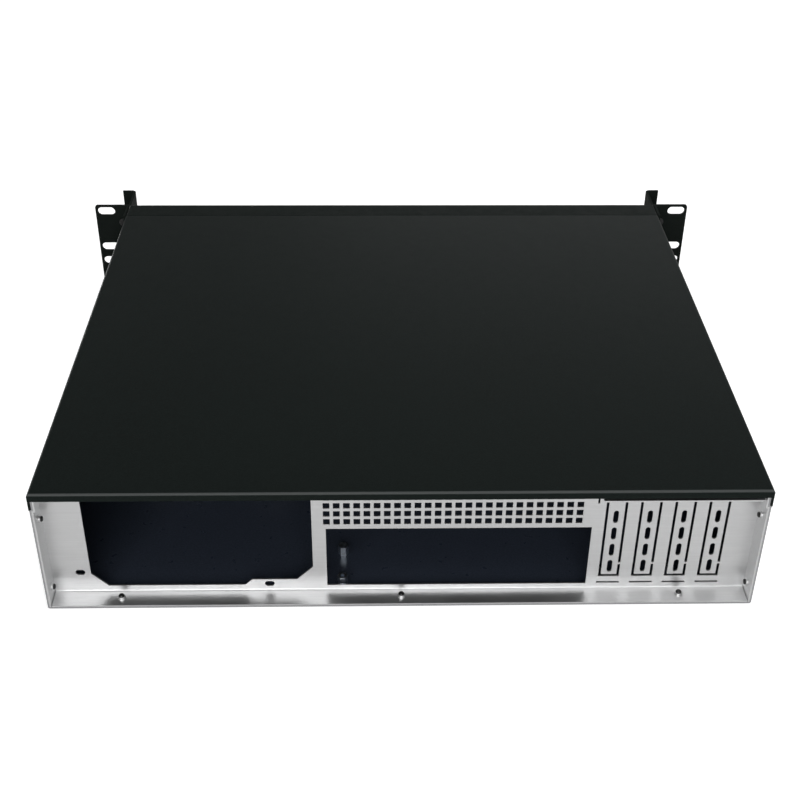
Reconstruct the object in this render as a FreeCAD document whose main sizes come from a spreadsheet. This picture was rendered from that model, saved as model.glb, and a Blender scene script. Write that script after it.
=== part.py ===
"""Two-unit rackmount server case, short depth, for a microATX board and an ATX power supply.

Axes of the case: +X is the right side seen from the front, +Y points to the rear and +Z up.
Inside this file Y is counted from the rear face of the rack ears, and every piece is moved
at the end so that the origin is the bottom centre of the whole case. All sizes are in mm.
"""
import FreeCAD, Part
import math
import os

import Sketcher
from FreeCAD import Placement, Rotation, Vector

doc = FreeCAD.newDocument("server_case")
sheet = doc.addObject("Spreadsheet::Sheet", "Sizes")

# ---------------------------------------------------------------------------------------
# Driving dimensions: alias, value, meaning
# ---------------------------------------------------------------------------------------
DIMENSIONS = [
    # tray and cover
    ("case_width", 427.0, "outer width of the tray and of the cover"),
    ("case_height", 88.0, "underside of the floor to the top of the cover"),
    ("case_depth", 378.0, "rear face of the ears to the rear end of the tray"),
    ("tray_sheet", 1.0, "sheet of the tray"),
    ("cover_sheet", 1.0, "sheet of the cover and of the front panel"),
    ("cover_gap", 0.2, "gap between the cover and what it covers"),
    ("skirt_height", 11.6, "height of the cover's sides, measured from its top"),
    ("top_flange", 9.0, "width of the flange along the top of each tray side"),
    ("strip_depth", 19.0, "depth of the fixed strip in front of the cover"),
    ("seam_gap", 0.5, "seam between the strip and the cover"),
    ("lip_height", 5.2, "height of the cover's rear lip"),
    ("cover_bend", 1.8, "outer radius of the cover's bends"),
    ("tray_bend", 1.2, "outer radius of the tray's bends"),
    ("front_return", 12.0, "flange of the front panel on the floor"),
    # rack ears
    ("ear_span", 482.6, "width over both ears"),
    ("ear_height", 87.4, "height of an ear"),
    ("ear_lift", 0.2, "underside of the ears above the underside of the floor"),
    ("ear_sheet", 2.0, "sheet of the ears"),
    ("ear_corner", 2.0, "corner radius of the ears"),
    ("rack_span", 465.0, "distance between the slots of the two ears"),
    ("rack_slot_length", 14.0, "length of a rack slot"),
    ("rack_slot_width", 7.0, "width of a rack slot"),
    ("rack_slot_low", 6.35, "height of the lowest rack slot"),
    ("rack_long_step", 31.75, "rise from the first slot to the second, and from the third to the fourth"),
    ("rack_short_step", 12.7, "rise from the second rack slot to the third"),
    # handles
    ("handle_low", 5.5, "lower edge of a handle"),
    ("handle_height", 76.3, "height of a handle"),
    ("handle_reach", 40.0, "front of a handle in front of the ear"),
    ("handle_width", 11.0, "width of a handle"),
    ("handle_offset", 1.0, "handle outside of the tray's side"),
    ("handle_sheet", 2.0, "sheet of a handle"),
    ("handle_bend", 4.0, "outer bend radius of a handle"),
    ("finger_height", 58.0, "height of the finger opening"),
    ("finger_depth", 26.0, "depth of the finger opening"),
    ("finger_corner", 7.0, "corner radius of the finger opening"),
    # rear panel
    ("rear_recess", 13.3, "face of the rear panel in front of the tray's rear end"),
    ("rear_sheet", 1.0, "sheet of the rear panel"),
    ("rear_inset", 0.1, "edge of the panel's flanges in front of the tray's rear end"),
    ("rear_seam", 0.3, "open seam between the flanges in the corners"),
    ("rear_bend", 0.9, "inner bend radius of the panel"),
    # power supply opening, from the supply's outline
    ("psu_edge", 200.4, "outer side of the power supply"),
    ("psu_base", 1.0, "underside of the power supply"),
    ("psu_length", 140.0, "length of the power supply"),
    ("psu_open_side", 12.2, "outer edge of the opening from the supply's side"),
    ("psu_open_width", 134.6, "width of the opening"),
    ("psu_open_low", 5.2, "lower edge of the opening above the supply's underside"),
    ("psu_open_top", 81.0, "upper edge of the opening above the supply's underside"),
    ("psu_chamfer", 9.8, "cut corners of the opening"),
    ("psu_step_width", 41.5, "width of the raised part of the lower edge"),
    ("psu_step_height", 4.2, "rise of the raised part of the lower edge"),
    ("psu_hole_side", 6.0, "outer fixing holes from the supply's side"),
    ("psu_hole_inner", 120.0, "lower inner fixing hole from the supply's side"),
    ("psu_hole_far", 144.0, "upper inner fixing hole from the supply's side"),
    ("psu_hole_low", 6.0, "lower inner fixing hole above the supply's underside"),
    ("psu_hole_mid", 16.0, "lower outer fixing hole above the supply's underside"),
    ("psu_hole_top", 80.0, "upper fixing holes above the supply's underside"),
    ("psu_slot_length", 5.9, "length of a fixing hole"),
    ("psu_slot_width", 3.9, "width of a fixing hole"),
    # connector opening and vent grid
    ("io_edge", 45.3, "outer edge of the connector opening"),
    ("io_width", 158.75, "width of the connector opening"),
    ("io_height", 44.45, "height of the connector opening"),
    ("io_low", 5.4, "lower edge of the connector opening"),
    ("vent_edge", 46.7, "outer edge of the vent grid"),
    ("vent_low", 53.2, "lower edge of the vent grid"),
    ("vent_hole", 4.0, "side of a vent hole"),
    ("vent_pitch", 6.0, "pitch of the vent holes"),
    # expansion slots
    ("slot_first", -127.0, "centre of the first expansion slot"),
    ("slot_pitch", 20.32, "pitch of the expansion slots"),
    ("blank_width", 12.8, "width over the cut round a blank"),
    ("blank_cut", 1.6, "width of the cut round a blank"),
    ("blank_low", 11.1, "lower edge of the cut"),
    ("blank_top", 73.5, "upper end of the cut"),
    ("tab_low", 20.65, "lower edge of the thin tab that holds a blank"),
    ("tab_height", 1.4, "height of the tab"),
    ("oval_width", 3.1, "width of an oval vent"),
    ("oval_length", 9.4, "length of an oval vent"),
    ("oval_pitch", 12.75, "pitch of the oval vents"),
    ("oval_low", 19.4, "centre of the lowest oval vent"),
    ("foot_length", 14.1, "length of the slot for a bracket's foot"),
    ("foot_width", 1.2, "width of the slot for a bracket's foot"),
    ("foot_level", 6.3, "height of the slot for a bracket's foot"),
    ("ledge_edge", -115.4, "end of the full panel beside the bracket ledge"),
    ("slit_width", 1.2, "slit between the panel and the ledge"),
    ("slit_low", 67.9, "lower end of the slit"),
    ("ledge_top", 78.4, "top of the bracket ledge"),
    ("ledge_depth", 11.0, "depth of the ledge behind the panel"),
    ("bracket_hole_back", 6.0, "bracket screw holes behind the panel"),
    ("bracket_hole_bore", 1.4, "radius of a bracket screw hole"),
    # fastening of the cover
    ("notch_half", 1.7, "half the width of a screw notch in the cover's sides"),
    ("cover_screw_level", 81.8, "height of the cover's screws"),
    ("cover_screw_first", 40.0, "foremost screw of the cover"),
    ("cover_screw_pitch", 159.0, "pitch of the cover's screws"),
    # board standoffs
    ("board_corner", 36.0, "outermost column of standoffs"),
    ("board_edge_gap", 0.8, "rear edge of the board in front of the rear panel"),
    ("board_row_first", 10.16, "first row of board holes from the board's rear edge"),
    ("board_row_corner", 33.02, "corner hole from the board's rear edge"),
    ("board_row_second", 165.1, "second row from the board's rear edge"),
    ("board_row_third", 237.49, "third row from the board's rear edge"),
    ("board_column_second", 157.48, "second column of board holes from the outermost"),
    ("board_column_third", 203.2, "third column of board holes from the outermost"),
    ("spare_standoff_back", 6.5, "spare standoff in front of the panel's outer face"),
    ("standoff_height", 6.5, "height of a standoff above the floor"),
    ("standoff_width", 5.5, "width across flats of a standoff"),
    ("standoff_bore", 1.25, "radius of a standoff's thread"),
    ("standoff_thread", 5.0, "depth of a standoff's thread"),
    # fans
    ("fan_size", 80.0, "side of a fan"),
    ("fan_depth", 25.4, "depth of a fan"),
    ("fan_first", -160.0, "centre of the first fan"),
    ("fan_pitch", 90.0, "distance between the fans"),
    ("fan_level", 43.5, "height of the fans' centres"),
    ("fan_duct", 38.2, "radius of a fan's duct"),
    ("fan_corner", 3.0, "cut corners of a fan"),
    ("fan_strut", 4.0, "width of the struts of the motor base"),
    ("fan_base_radius", 18.0, "radius of the motor base"),
    ("fan_base", 3.0, "thickness of the motor base"),
    ("hub_radius", 17.0, "radius of the rotor's hub"),
    ("hub_front", 2.2, "front of the hub behind the fan's front"),
    ("hub_length", 18.8, "length of the hub"),
    ("blade_tip", 36.0, "distance of a blade's tip from the axis"),
    ("blade_chord", 17.0, "length of a blade's section"),
    ("blade_slope", 38.0, "angle of a blade to the fan's plane, in degrees"),
    ("blade_sheet", 1.3, "thickness of a blade"),
    ("fan_shaft", 1.5, "radius of the rotor's shaft"),
    ("shaft_gap", 0.05, "running clearance of the shaft"),
    ("shaft_end", 1.0, "end of the shaft before the rear of the fan"),
    # front panel openings
    ("louvre_length", 34.0, "length of an air slot"),
    ("louvre_height", 4.0, "height of an air slot"),
    ("louvre_rise", 7.0, "pitch of the air slots upwards"),
    ("louvre_shift", 38.0, "pitch of the air slots sideways"),
    ("control_place", 10.0, "middle of the controls"),
    ("power_level", 62.0, "height of the power button"),
    ("power_radius", 6.0, "radius of the power button"),
    ("reset_level", 45.0, "height of the reset button"),
    ("reset_radius", 3.0, "radius of the reset button"),
    ("button_gap", 0.3, "gap round a button"),
    ("button_stand", 2.0, "front of a button before the panel"),
    ("button_rim", 1.2, "width and thickness of a button's rim behind the panel"),
    ("button_seat", 0.05, "gap between a button's rim and the panel at rest"),
    ("stem_side", 3.0, "side of a button's square stem"),
    ("stem_gap", 0.05, "running clearance of a stem in its switch"),
    ("stem_entry", 1.9, "length of the stem inside the switch at rest"),
    ("button_travel", 1.5, "travel of a button"),
    ("lamp_level", 34.0, "height of the lamps"),
    ("lamp_pitch", 10.0, "distance between the lamps"),
    ("lamp_radius", 1.5, "radius of a lamp"),
    ("lamp_stand", 0.6, "end of a lamp before the panel"),
    ("usb_level", 19.0, "height of the data sockets"),
    ("usb_pitch", 18.0, "distance between the data sockets"),
    ("usb_width", 13.2, "width of a data socket"),
    ("usb_height", 5.8, "height of a data socket"),
    ("usb_sheet", 0.6, "wall of a data socket"),
    ("usb_tongue_width", 10.4, "width of the tongue in a data socket"),
    ("usb_tongue_height", 1.8, "thickness of the tongue"),
    ("usb_tongue_length", 9.0, "length of the tongue"),
    ("usb_base", 3.0, "solid base of a data socket on the control board"),
    # control board
    ("board_stand", 14.0, "control board behind the front panel"),
    ("board_sheet", 1.6, "thickness of the control board"),
    ("board_width", 38.0, "width of the control board"),
    ("board_low", 8.0, "lower edge of the control board"),
    ("board_height", 63.0, "height of the control board"),
    ("spacer_inset", 3.5, "spacers from the control board's edges"),
    ("spacer_width", 5.0, "width across flats of a spacer"),
    ("switch_side", 6.0, "side of a switch"),
    ("switch_height", 4.0, "height of a switch"),
    # drive cage and bay covers
    ("bay_middle", 119.5, "middle of the drive bays"),
    ("bay_depth", 150.0, "depth of the drive cage"),
    ("cage_sheet", 1.2, "sheet of the drive cage"),
    ("large_bay_width", 149.4, "width inside the large bay"),
    ("large_bay_low", 37.8, "floor of the large bay"),
    ("large_bay_height", 43.8, "height inside the large bay"),
    ("small_bay_width", 102.6, "width inside the small bay"),
    ("small_bay_low", 6.4, "lower edge of the small bay's opening"),
    ("small_bay_height", 26.2, "height of the small bay's opening"),
    ("bay_edge", 0.6, "large bay inside the cage beyond its opening"),
    ("bay_cover_gap", 0.3, "gap round a bay cover"),
    ("bay_cover_sheet", 2.5, "thickness of a bay cover"),
    ("clip_length", 14.0, "length of a bay cover's clips"),
    ("clip_sheet", 1.4, "thickness of a clip"),
    ("cage_foot_width", 9.0, "width of a foot of the cage"),
    ("cage_foot_length", 14.0, "length of a foot of the cage"),
    ("cage_foot_first", 22.0, "front of the first feet"),
    ("cage_foot_pitch", 96.0, "distance between the feet"),
    ("drive_slot_length", 9.0, "length of a drive screw slot"),
    ("drive_slot_width", 3.5, "width of a drive screw slot"),
    ("large_slot_first", 47.5, "first drive screw slots of the large bay"),
    ("large_slot_pitch", 79.25, "distance between the slots of the large bay"),
    ("large_slot_rise", 10.0, "lower slots above the floor of the large bay"),
    ("small_slot_first", 28.5, "first drive screw slots of the small bay"),
    ("small_slot_pitch", 101.6, "distance between the slots of the small bay"),
    ("small_slot_rise", 6.35, "slots above the lower edge of the small bay's opening"),
    # supply stop and cross brace
    ("stop_width", 100.0, "width of the stop in front of the power supply"),
    ("stop_height", 40.0, "height of the stop"),
    ("stop_foot", 17.0, "foot of the stop on the floor"),
    ("stop_sheet", 1.2, "sheet of the stop"),
    ("stop_window_width", 70.0, "width of the air window in the stop"),
    ("stop_window_height", 22.0, "height of the air window in the stop"),
    ("stop_window_low", 11.0, "air window above the floor"),
    ("brace_front", 186.0, "front of the cross brace"),
    ("brace_width", 14.0, "width of the cross brace"),
    ("brace_height", 10.0, "height of the cross brace"),
    ("brace_sheet", 1.0, "sheet of the cross brace"),
]

for row, (alias, value, meaning) in enumerate(DIMENSIONS, start=1):
    sheet.set(f"A{row}", alias)
    sheet.set(f"B{row}", str(value))
    sheet.set(f"C{row}", meaning)
    sheet.setAlias(f"B{row}", alias)
doc.recompute()


class Size:
    """A length that carries its value and the spreadsheet expression that gives it."""

    def __init__(self, value, text):
        self.value = float(value)
        self.text = text

    def __add__(self, other):
        other = as_size(other)
        return Size(self.value + other.value, f"({self.text} + {other.text})")

    def __radd__(self, other):
        return as_size(other) + self

    def __sub__(self, other):
        other = as_size(other)
        return Size(self.value - other.value, f"({self.text} - {other.text})")

    def __rsub__(self, other):
        return as_size(other) - self

    def __mul__(self, factor):
        return Size(self.value * factor, f"({self.text} * {factor})")

    def __rmul__(self, factor):
        return self * factor

    def times(self, other):
        """This size times another one."""
        return Size(self.value * other.value, f"({self.text} * {other.text})")

    def __truediv__(self, factor):
        return Size(self.value / factor, f"({self.text} / {factor})")

    def __neg__(self):
        return Size(-self.value, f"(-{self.text})")


def as_size(number):
    """Turn a plain number into a Size, and leave a Size as it is."""
    if isinstance(number, Size):
        return number
    return Size(number, f"({float(number)})")


class SheetSizes:
    """Gives each cell of the spreadsheet as a Size, by its alias."""

    def __getattr__(self, alias):
        return Size(sheet.get(alias), f"Sizes.{alias}")


S = SheetSizes()
ZERO = as_size(0.0)

# ---------------------------------------------------------------------------------------
# Sketches and features
# ---------------------------------------------------------------------------------------
# Which way a sketch's normal points along its axis.
NORMAL = {"XY_Plane": 1, "XZ_Plane": -1, "YZ_Plane": 1}


def origin_feature(body, role):
    """The plane or axis of a body's origin with this role."""
    return [feature for feature in body.Origin.OriginFeatures if feature.Role == role][0]


def new_sketch(body, plane, level):
    """A sketch of a body, parallel to one of its origin planes, at this level along its axis."""
    sketch = body.newObject("Sketcher::SketchObject", f"{body.Label}_sketch")
    sketch.AttachmentSupport = [(origin_feature(body, plane), "")]
    sketch.MapMode = "FlatFace"
    sketch.setExpression("AttachmentOffset.Base.z", (as_size(level) * NORMAL[plane]).text)
    return sketch


def fix_point(sketch, geometry, point, place):
    """Hold a point of a sketch at a place that the spreadsheet gives."""
    for kind, size in zip(("DistanceX", "DistanceY"), place):
        constraint = Sketcher.Constraint(kind, -1, 1, geometry, point, size.value)
        number = sketch.addConstraint(constraint)
        sketch.setExpression(f"Constraints[{number}]", size.text)


def fix_radius(sketch, geometry, radius):
    """Hold the radius of a circle or an arc."""
    number = sketch.addConstraint(Sketcher.Constraint("Radius", geometry, radius.value))
    sketch.setExpression(f"Constraints[{number}]", radius.text)


def draw_polygon(sketch, corners):
    """Draw a closed outline through these corners."""
    places = [(as_size(u), as_size(v)) for u, v in corners]
    points = [Vector(u.value, v.value, 0) for u, v in places]
    first = sketch.GeometryCount
    following = list(range(1, len(points))) + [0]
    lines = [Part.LineSegment(points[i], points[j]) for i, j in enumerate(following)]
    sketch.addGeometry(lines, False)
    for i, j in enumerate(following):
        sketch.addConstraint(Sketcher.Constraint("Coincident", first + i, 2, first + j, 1))
    for i, place in enumerate(places):
        fix_point(sketch, first + i, 1, place)


def draw_rectangle(sketch, u0, u1, v0, v1):
    """Draw a rectangle between two values of each coordinate."""
    draw_polygon(sketch, [(u0, v0), (u1, v0), (u1, v1), (u0, v1)])


def draw_circle(sketch, u, v, radius):
    """Draw a circle."""
    place = (as_size(u), as_size(v))
    radius = as_size(radius)
    centre = Vector(place[0].value, place[1].value, 0)
    circle = sketch.addGeometry(Part.Circle(centre, Vector(0, 0, 1), radius.value), False)
    fix_point(sketch, circle, 3, place)
    fix_radius(sketch, circle, radius)


def draw_slot(sketch, u, v, length, width):
    """Draw a lying slot with round ends, centred on a place."""
    u, v, radius = as_size(u), as_size(v), as_size(width) / 2
    reach = (as_size(length) - as_size(width)) / 2
    arcs = []
    for sign, angle in ((1, -math.pi / 2), (-1, math.pi / 2)):
        place = (u + reach * sign, v)
        circle = Part.Circle(Vector(place[0].value, place[1].value, 0), Vector(0, 0, 1), radius.value)
        arc = Part.ArcOfCircle(circle, angle, angle + math.pi)
        arcs.append((sketch.addGeometry(arc, False), arc, place))
    (far, far_arc, far_place), (near_end, near_arc, near_place) = arcs
    out = sketch.addGeometry(Part.LineSegment(far_arc.EndPoint, near_arc.StartPoint), False)
    back = sketch.addGeometry(Part.LineSegment(near_arc.EndPoint, far_arc.StartPoint), False)
    for one, other in ((far, out), (out, near_end), (near_end, back), (back, far)):
        sketch.addConstraint(Sketcher.Constraint("Tangent", one, 2, other, 1))
    sketch.addConstraint(Sketcher.Constraint("Equal", far, near_end))
    fix_point(sketch, far, 3, far_place)
    fix_point(sketch, near_end, 3, near_place)
    fix_radius(sketch, far, radius)


def new_body(label):
    """A body whose label is the node's name."""
    body = doc.addObject("PartDesign::Body", label)
    body.Label = label
    return body


def pad(body, plane, start, end, draw):
    """Add what draw() sketches, from one level to a higher one along the plane's axis."""
    sketch = new_sketch(body, plane, start)
    draw(sketch)
    feature = body.newObject("PartDesign::Pad", f"{body.Label}_pad")
    feature.Profile = sketch
    feature.setExpression("Length", (as_size(end) - as_size(start)).text)
    feature.Reversed = NORMAL[plane] < 0
    doc.recompute()
    return feature


def pocket(body, plane, start, end, draw):
    """Cut what draw() sketches, from one level to a higher one, and make sure that it cuts."""
    before = body.Shape.Volume
    sketch = new_sketch(body, plane, start)
    draw(sketch)
    feature = body.newObject("PartDesign::Pocket", f"{body.Label}_pocket")
    feature.Profile = sketch
    feature.setExpression("Length", (as_size(end) - as_size(start)).text)
    feature.Reversed = NORMAL[plane] > 0
    doc.recompute()
    if body.Shape.Volume >= before:
        raise RuntimeError(f"a pocket of {body.Label} cuts nothing")
    return feature


def repeat(body, feature, columns, column_pitch, rows=1, row_pitch=None, reverse=False):
    """Repeat a feature in columns, and in rows where asked, along the axes of its own sketch."""
    pattern = body.newObject("PartDesign::LinearPattern", f"{body.Label}_pattern")
    pattern.Originals = [feature]
    pattern.Direction = (feature.Profile[0], ["H_Axis"])
    pattern.Reversed = reverse
    pattern.Mode = "Spacing"
    pattern.setExpression("Offset", column_pitch.text)
    pattern.Occurrences = columns
    if row_pitch is not None:
        pattern.Direction2 = (feature.Profile[0], ["V_Axis"])
        pattern.Mode2 = "Spacing"
        pattern.setExpression("Offset2", row_pitch.text)
        pattern.Occurrences2 = rows
    body.Tip = pattern
    doc.recompute()
    return pattern


def is_at(value, size):
    """True where a coordinate has the value of a size."""
    return abs(value - as_size(size).value) < 1e-4


def round_edges(body, radius, test):
    """Round the straight edges of a body whose middle passes a test."""
    base = body.Tip
    names = []
    for number, edge in enumerate(base.Shape.Edges, start=1):
        if len(edge.Vertexes) == 2 and test(edge.CenterOfMass):
            names.append(f"Edge{number}")
    if not names:
        raise RuntimeError(f"no edge of {body.Label} to round")
    feature = body.newObject("PartDesign::Fillet", f"{body.Label}_fillet")
    feature.Base = (base, names)
    feature.setExpression("Radius", radius.text)
    doc.recompute()
    return feature


def put(thing, x, y, z, axis=(0, 0, 1)):
    """Place an object at a point given by sizes, with its own Z along an axis."""
    thing.Placement = Placement(Vector(), Rotation(Vector(0, 0, 1), Vector(*axis)))
    for name, size in zip("xyz", (x, y, z)):
        thing.setExpression(f"Placement.Base.{name}", as_size(size).text)
    return thing


def box(label, x0, x1, y0, y1, z0, z1):
    """A Part box between two values of each coordinate."""
    solid = doc.addObject("Part::Box", label)
    for side, low, high in (("Length", x0, x1), ("Width", y0, y1), ("Height", z0, z1)):
        solid.setExpression(side, (as_size(high) - as_size(low)).text)
    return put(solid, x0, y0, z0)


def cylinder(label, x, y, z, radius, length, axis=(0, 0, 1)):
    """A Part cylinder from a point along an axis."""
    solid = doc.addObject("Part::Cylinder", label)
    solid.setExpression("Radius", as_size(radius).text)
    solid.setExpression("Height", as_size(length).text)
    return put(solid, x, y, z, axis)


def cut(label, base, tool):
    """A solid less another."""
    result = doc.addObject("Part::Cut", label)
    result.Base = base
    result.Tool = tool
    return result


def group(label, solids):
    """Several separate solids in one node."""
    compound = doc.addObject("Part::Compound", label)
    compound.Label = label
    compound.Links = solids
    return compound


# ---------------------------------------------------------------------------------------
# Places that several pieces share
# ---------------------------------------------------------------------------------------
half_width = S.case_width / 2
wall_low = half_width - S.tray_sheet
wall_high = half_width - S.cover_sheet - S.cover_gap
cover_under = S.case_height - S.cover_sheet
tray_top = cover_under - S.cover_gap
step_top = S.case_height - S.skirt_height - S.cover_gap
panel_face = S.case_depth - S.rear_recess
panel_back = panel_face - S.rear_sheet
flange_end = S.case_depth - S.rear_inset
floor_top = S.tray_sheet
front_face = -S.cover_sheet
ear_front = -S.ear_sheet
handle_front = ear_front - S.handle_reach
cover_end = S.case_depth + S.cover_gap + S.cover_sheet
board_edge = panel_back - S.board_edge_gap
cover_screw_rows = [S.cover_screw_first + S.cover_screw_pitch * turn for turn in range(3)]
stop_middle = S.psu_edge - (S.psu_hole_side + S.psu_hole_far) / 2
stop_face = panel_back - S.psu_length - S.cover_gap
fan_middles = [S.fan_first, S.fan_first + S.fan_pitch]
shelf_under = S.large_bay_low - S.cage_sheet
small_wall = S.small_bay_width / 2
large_wall = S.large_bay_width / 2
cage_feet = [S.cage_foot_first, S.cage_foot_first + S.cage_foot_pitch]
board_columns = [S.board_corner - shift for shift in (0.0, S.board_column_second, S.board_column_third)]
standoff_places = [(S.board_corner, panel_face - S.spare_standoff_back),
                   (S.board_corner, board_edge - S.board_row_corner)]
standoff_places += [(column, board_edge - S.board_row_first) for column in board_columns[1:]]
standoff_places += [(column, board_edge - row) for row in (S.board_row_second, S.board_row_third)
                    for column in board_columns]
spacer_places = [
    (S.control_place + (S.board_width / 2 - S.spacer_inset) * side, level)
    for side in (-1, 1)
    for level in (S.board_low + S.spacer_inset, S.board_low + S.board_height - S.spacer_inset)
]


def mirrored(points):
    """The same points on the other side of the middle plane, in the reverse order."""
    return [(-u, v) for u, v in reversed(points)]


def spans(side, near_side, far_side):
    """Two distances from the middle plane as an ordered pair of X values on one side."""
    return (near_side, far_side) if side > 0 else (-far_side, -near_side)


def circles(places, radius):
    """A drawing of equal circles."""
    def draw(sketch):
        for u, v in places:
            draw_circle(sketch, u, v, radius)
    return draw


def rectangles(*bounds):
    """A drawing of rectangles, each given by two values of each coordinate."""
    def draw(sketch):
        for bound in bounds:
            draw_rectangle(sketch, *bound)
    return draw


def outline_of(corners):
    """A drawing of one closed outline."""
    return lambda sketch: draw_polygon(sketch, corners)


def stepped_wall(outer_low, outer_high, shelf, thickness, top, foot):
    """Section of a side wall that steps inward at a shelf, up its outer side and down its inner."""
    inner_low = outer_low - thickness
    inner_high = outer_high - thickness
    under = shelf - thickness
    outside = [(outer_low, foot), (outer_low, shelf), (outer_high, shelf), (outer_high, top)]
    return outside, [(inner_high, under), (inner_low, under), (inner_low, foot)]


# ---------------------------------------------------------------------------------------
# Sheet metal shell
# ---------------------------------------------------------------------------------------
def make_base_tray():
    """Floor and both side walls of the case, folded from one sheet."""
    body = new_body("base_tray")
    outside, inside = stepped_wall(half_width, wall_high, step_top, S.tray_sheet, tray_top, floor_top)
    inner_high = wall_high - S.tray_sheet
    flange_under = tray_top - S.tray_sheet
    flange = [(inner_high - S.top_flange, tray_top), (inner_high - S.top_flange, flange_under),
              (inner_high, flange_under)]
    right = [(half_width, 0.0)] + outside[1:] + flange + inside
    pad(body, "XZ_Plane", 0.0, S.case_depth, outline_of(right + mirrored(right)))
    round_edges(body, S.tray_bend, lambda point: is_at(abs(point.x), half_width) and is_at(point.z, 0.0))
    return body


def make_rear_panel():
    """Recessed rear panel: flanges, supply and connector openings, vent grid and expansion slots."""
    body = new_body("rear_panel")
    edge = wall_high - S.tray_sheet
    shelf = step_top - S.tray_sheet
    flange_top = tray_top - S.tray_sheet - S.cover_gap
    ledge_end = S.ledge_edge - S.slit_width
    under_flange = edge - S.top_flange
    plate = [
        (-wall_low, floor_top), (wall_low, floor_top), (wall_low, shelf), (edge, shelf), (edge, flange_top),
        (under_flange, flange_top), (under_flange, tray_top), (S.ledge_edge, tray_top),
        (S.ledge_edge, S.slit_low), (ledge_end, S.slit_low), (ledge_end, S.ledge_top), (-edge, S.ledge_top),
        (-edge, shelf), (-wall_low, shelf),
    ]
    pad(body, "XZ_Plane", panel_back, panel_face, outline_of(plate))
    outside, inside = stepped_wall(wall_low, edge, shelf, S.rear_sheet, flange_top, floor_top)
    right = outside + [(edge - S.rear_sheet, flange_top)] + inside
    pad(body, "XZ_Plane", panel_back, flange_end, outline_of(right))
    pad(body, "XZ_Plane", panel_back, flange_end, outline_of(mirrored(right)))
    seam = wall_low - S.rear_sheet - S.rear_seam
    low_flange = floor_top + S.rear_sheet
    pad(body, "XY_Plane", floor_top, low_flange, rectangles((-seam, seam, panel_back, flange_end)))
    ledge_seam = -(edge - S.rear_sheet - S.rear_seam)
    ledge_back = panel_face + S.ledge_depth
    pad(body, "XY_Plane", S.ledge_top - S.rear_sheet, S.ledge_top,
        rectangles((ledge_seam, ledge_end, panel_back, ledge_back)))
    round_edges(body, S.rear_bend, lambda point: is_at(point.y, panel_face) and is_at(point.z, low_flange))
    cut_supply_opening(body)
    cut_expansion_slots(body)
    cut_connector_opening(body)
    return body


def cut_supply_opening(body):
    """Opening for the rear face of the power supply, with its four fixing holes."""
    outer = S.psu_edge - S.psu_open_side
    inner = outer - S.psu_open_width
    low = S.psu_base + S.psu_open_low
    step = low + S.psu_step_height
    top = S.psu_base + S.psu_open_top
    step_end = inner + S.psu_step_width
    outline = [
        (outer, low + S.psu_chamfer), (outer, top), (inner + S.psu_chamfer, top),
        (inner, top - S.psu_chamfer),
        (inner, step + S.psu_chamfer), (inner + S.psu_chamfer, step), (step_end - S.psu_step_height, step),
        (step_end, low), (outer - S.psu_chamfer, low),
    ]
    holes = [
        (S.psu_hole_side, S.psu_hole_mid), (S.psu_hole_inner, S.psu_hole_low),
        (S.psu_hole_side, S.psu_hole_top), (S.psu_hole_far, S.psu_hole_top),
    ]

    def draw(sketch):
        draw_polygon(sketch, outline)
        for side, level in holes:
            draw_slot(sketch, S.psu_edge - side, S.psu_base + level, S.psu_slot_length, S.psu_slot_width)

    pocket(body, "XZ_Plane", panel_back, panel_face, draw)


def cut_connector_opening(body):
    """Opening for the board's connectors, and the grid of square vent holes above it."""
    columns, rows = 26, 5
    opening = (S.io_edge - S.io_width, S.io_edge, S.io_low, S.io_low + S.io_height)
    pocket(body, "XZ_Plane", panel_back, panel_face, rectangles(opening))
    first = (S.vent_edge - S.vent_hole, S.vent_edge, S.vent_low, S.vent_low + S.vent_hole)
    hole = pocket(body, "XZ_Plane", panel_back, panel_face, rectangles(first))
    repeat(body, hole, columns, S.vent_pitch, rows, S.vent_pitch, reverse=True)


def cut_expansion_slots(body):
    """Four blanks, each cut free but for its top and one thin tab, with vents and bracket slots."""
    slots, ovals = 4, 5
    middle = S.slot_first
    right, left = middle + S.blank_width / 2, middle - S.blank_width / 2
    right_inside, left_inside = right - S.blank_cut, left + S.blank_cut
    low_inside = S.blank_low + S.blank_cut
    cut_round = [
        (right, S.blank_top), (right_inside, S.blank_top), (right_inside, low_inside),
        (left_inside, low_inside),
        (left_inside, S.tab_low), (left, S.tab_low), (left, S.blank_low), (right, S.blank_low),
    ]
    foot_side, foot_rise = S.foot_length / 2, S.foot_width / 2
    above_tab = (left, left_inside, S.tab_low + S.tab_height, S.blank_top)
    foot = (middle - foot_side, middle + foot_side, S.foot_level - foot_rise, S.foot_level + foot_rise)

    def draw(sketch):
        draw_polygon(sketch, cut_round)
        rectangles(above_tab, foot)(sketch)

    blank = pocket(body, "XZ_Plane", panel_back, panel_face, draw)
    repeat(body, blank, slots, S.slot_pitch, reverse=True)
    oval = pocket(body, "XZ_Plane", panel_back, panel_face,
                  lambda sketch: draw_polygon(sketch, oval_corners(middle, S.oval_low)))
    repeat(body, oval, slots, S.slot_pitch, ovals, S.oval_pitch, reverse=True)
    bracket_row = panel_face + S.bracket_hole_back
    screw = pocket(body, "XY_Plane", S.ledge_top - S.rear_sheet, S.ledge_top,
                   circles([(middle, bracket_row)], S.bracket_hole_bore))
    repeat(body, screw, slots, S.slot_pitch, reverse=True)


def oval_corners(u, v):
    """Corners of an upright oval vent, whose ends are half octagons."""
    sides = 4
    radius = S.oval_width / 2
    reach = (S.oval_length - S.oval_width) / 2
    corners = []
    for end, start in ((1, 0.0), (-1, math.pi)):
        for step in range(sides + 1):
            angle = start + math.pi * step / sides
            corners.append((u + radius * math.cos(angle), v + reach * end + radius * math.sin(angle)))
    return corners


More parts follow.
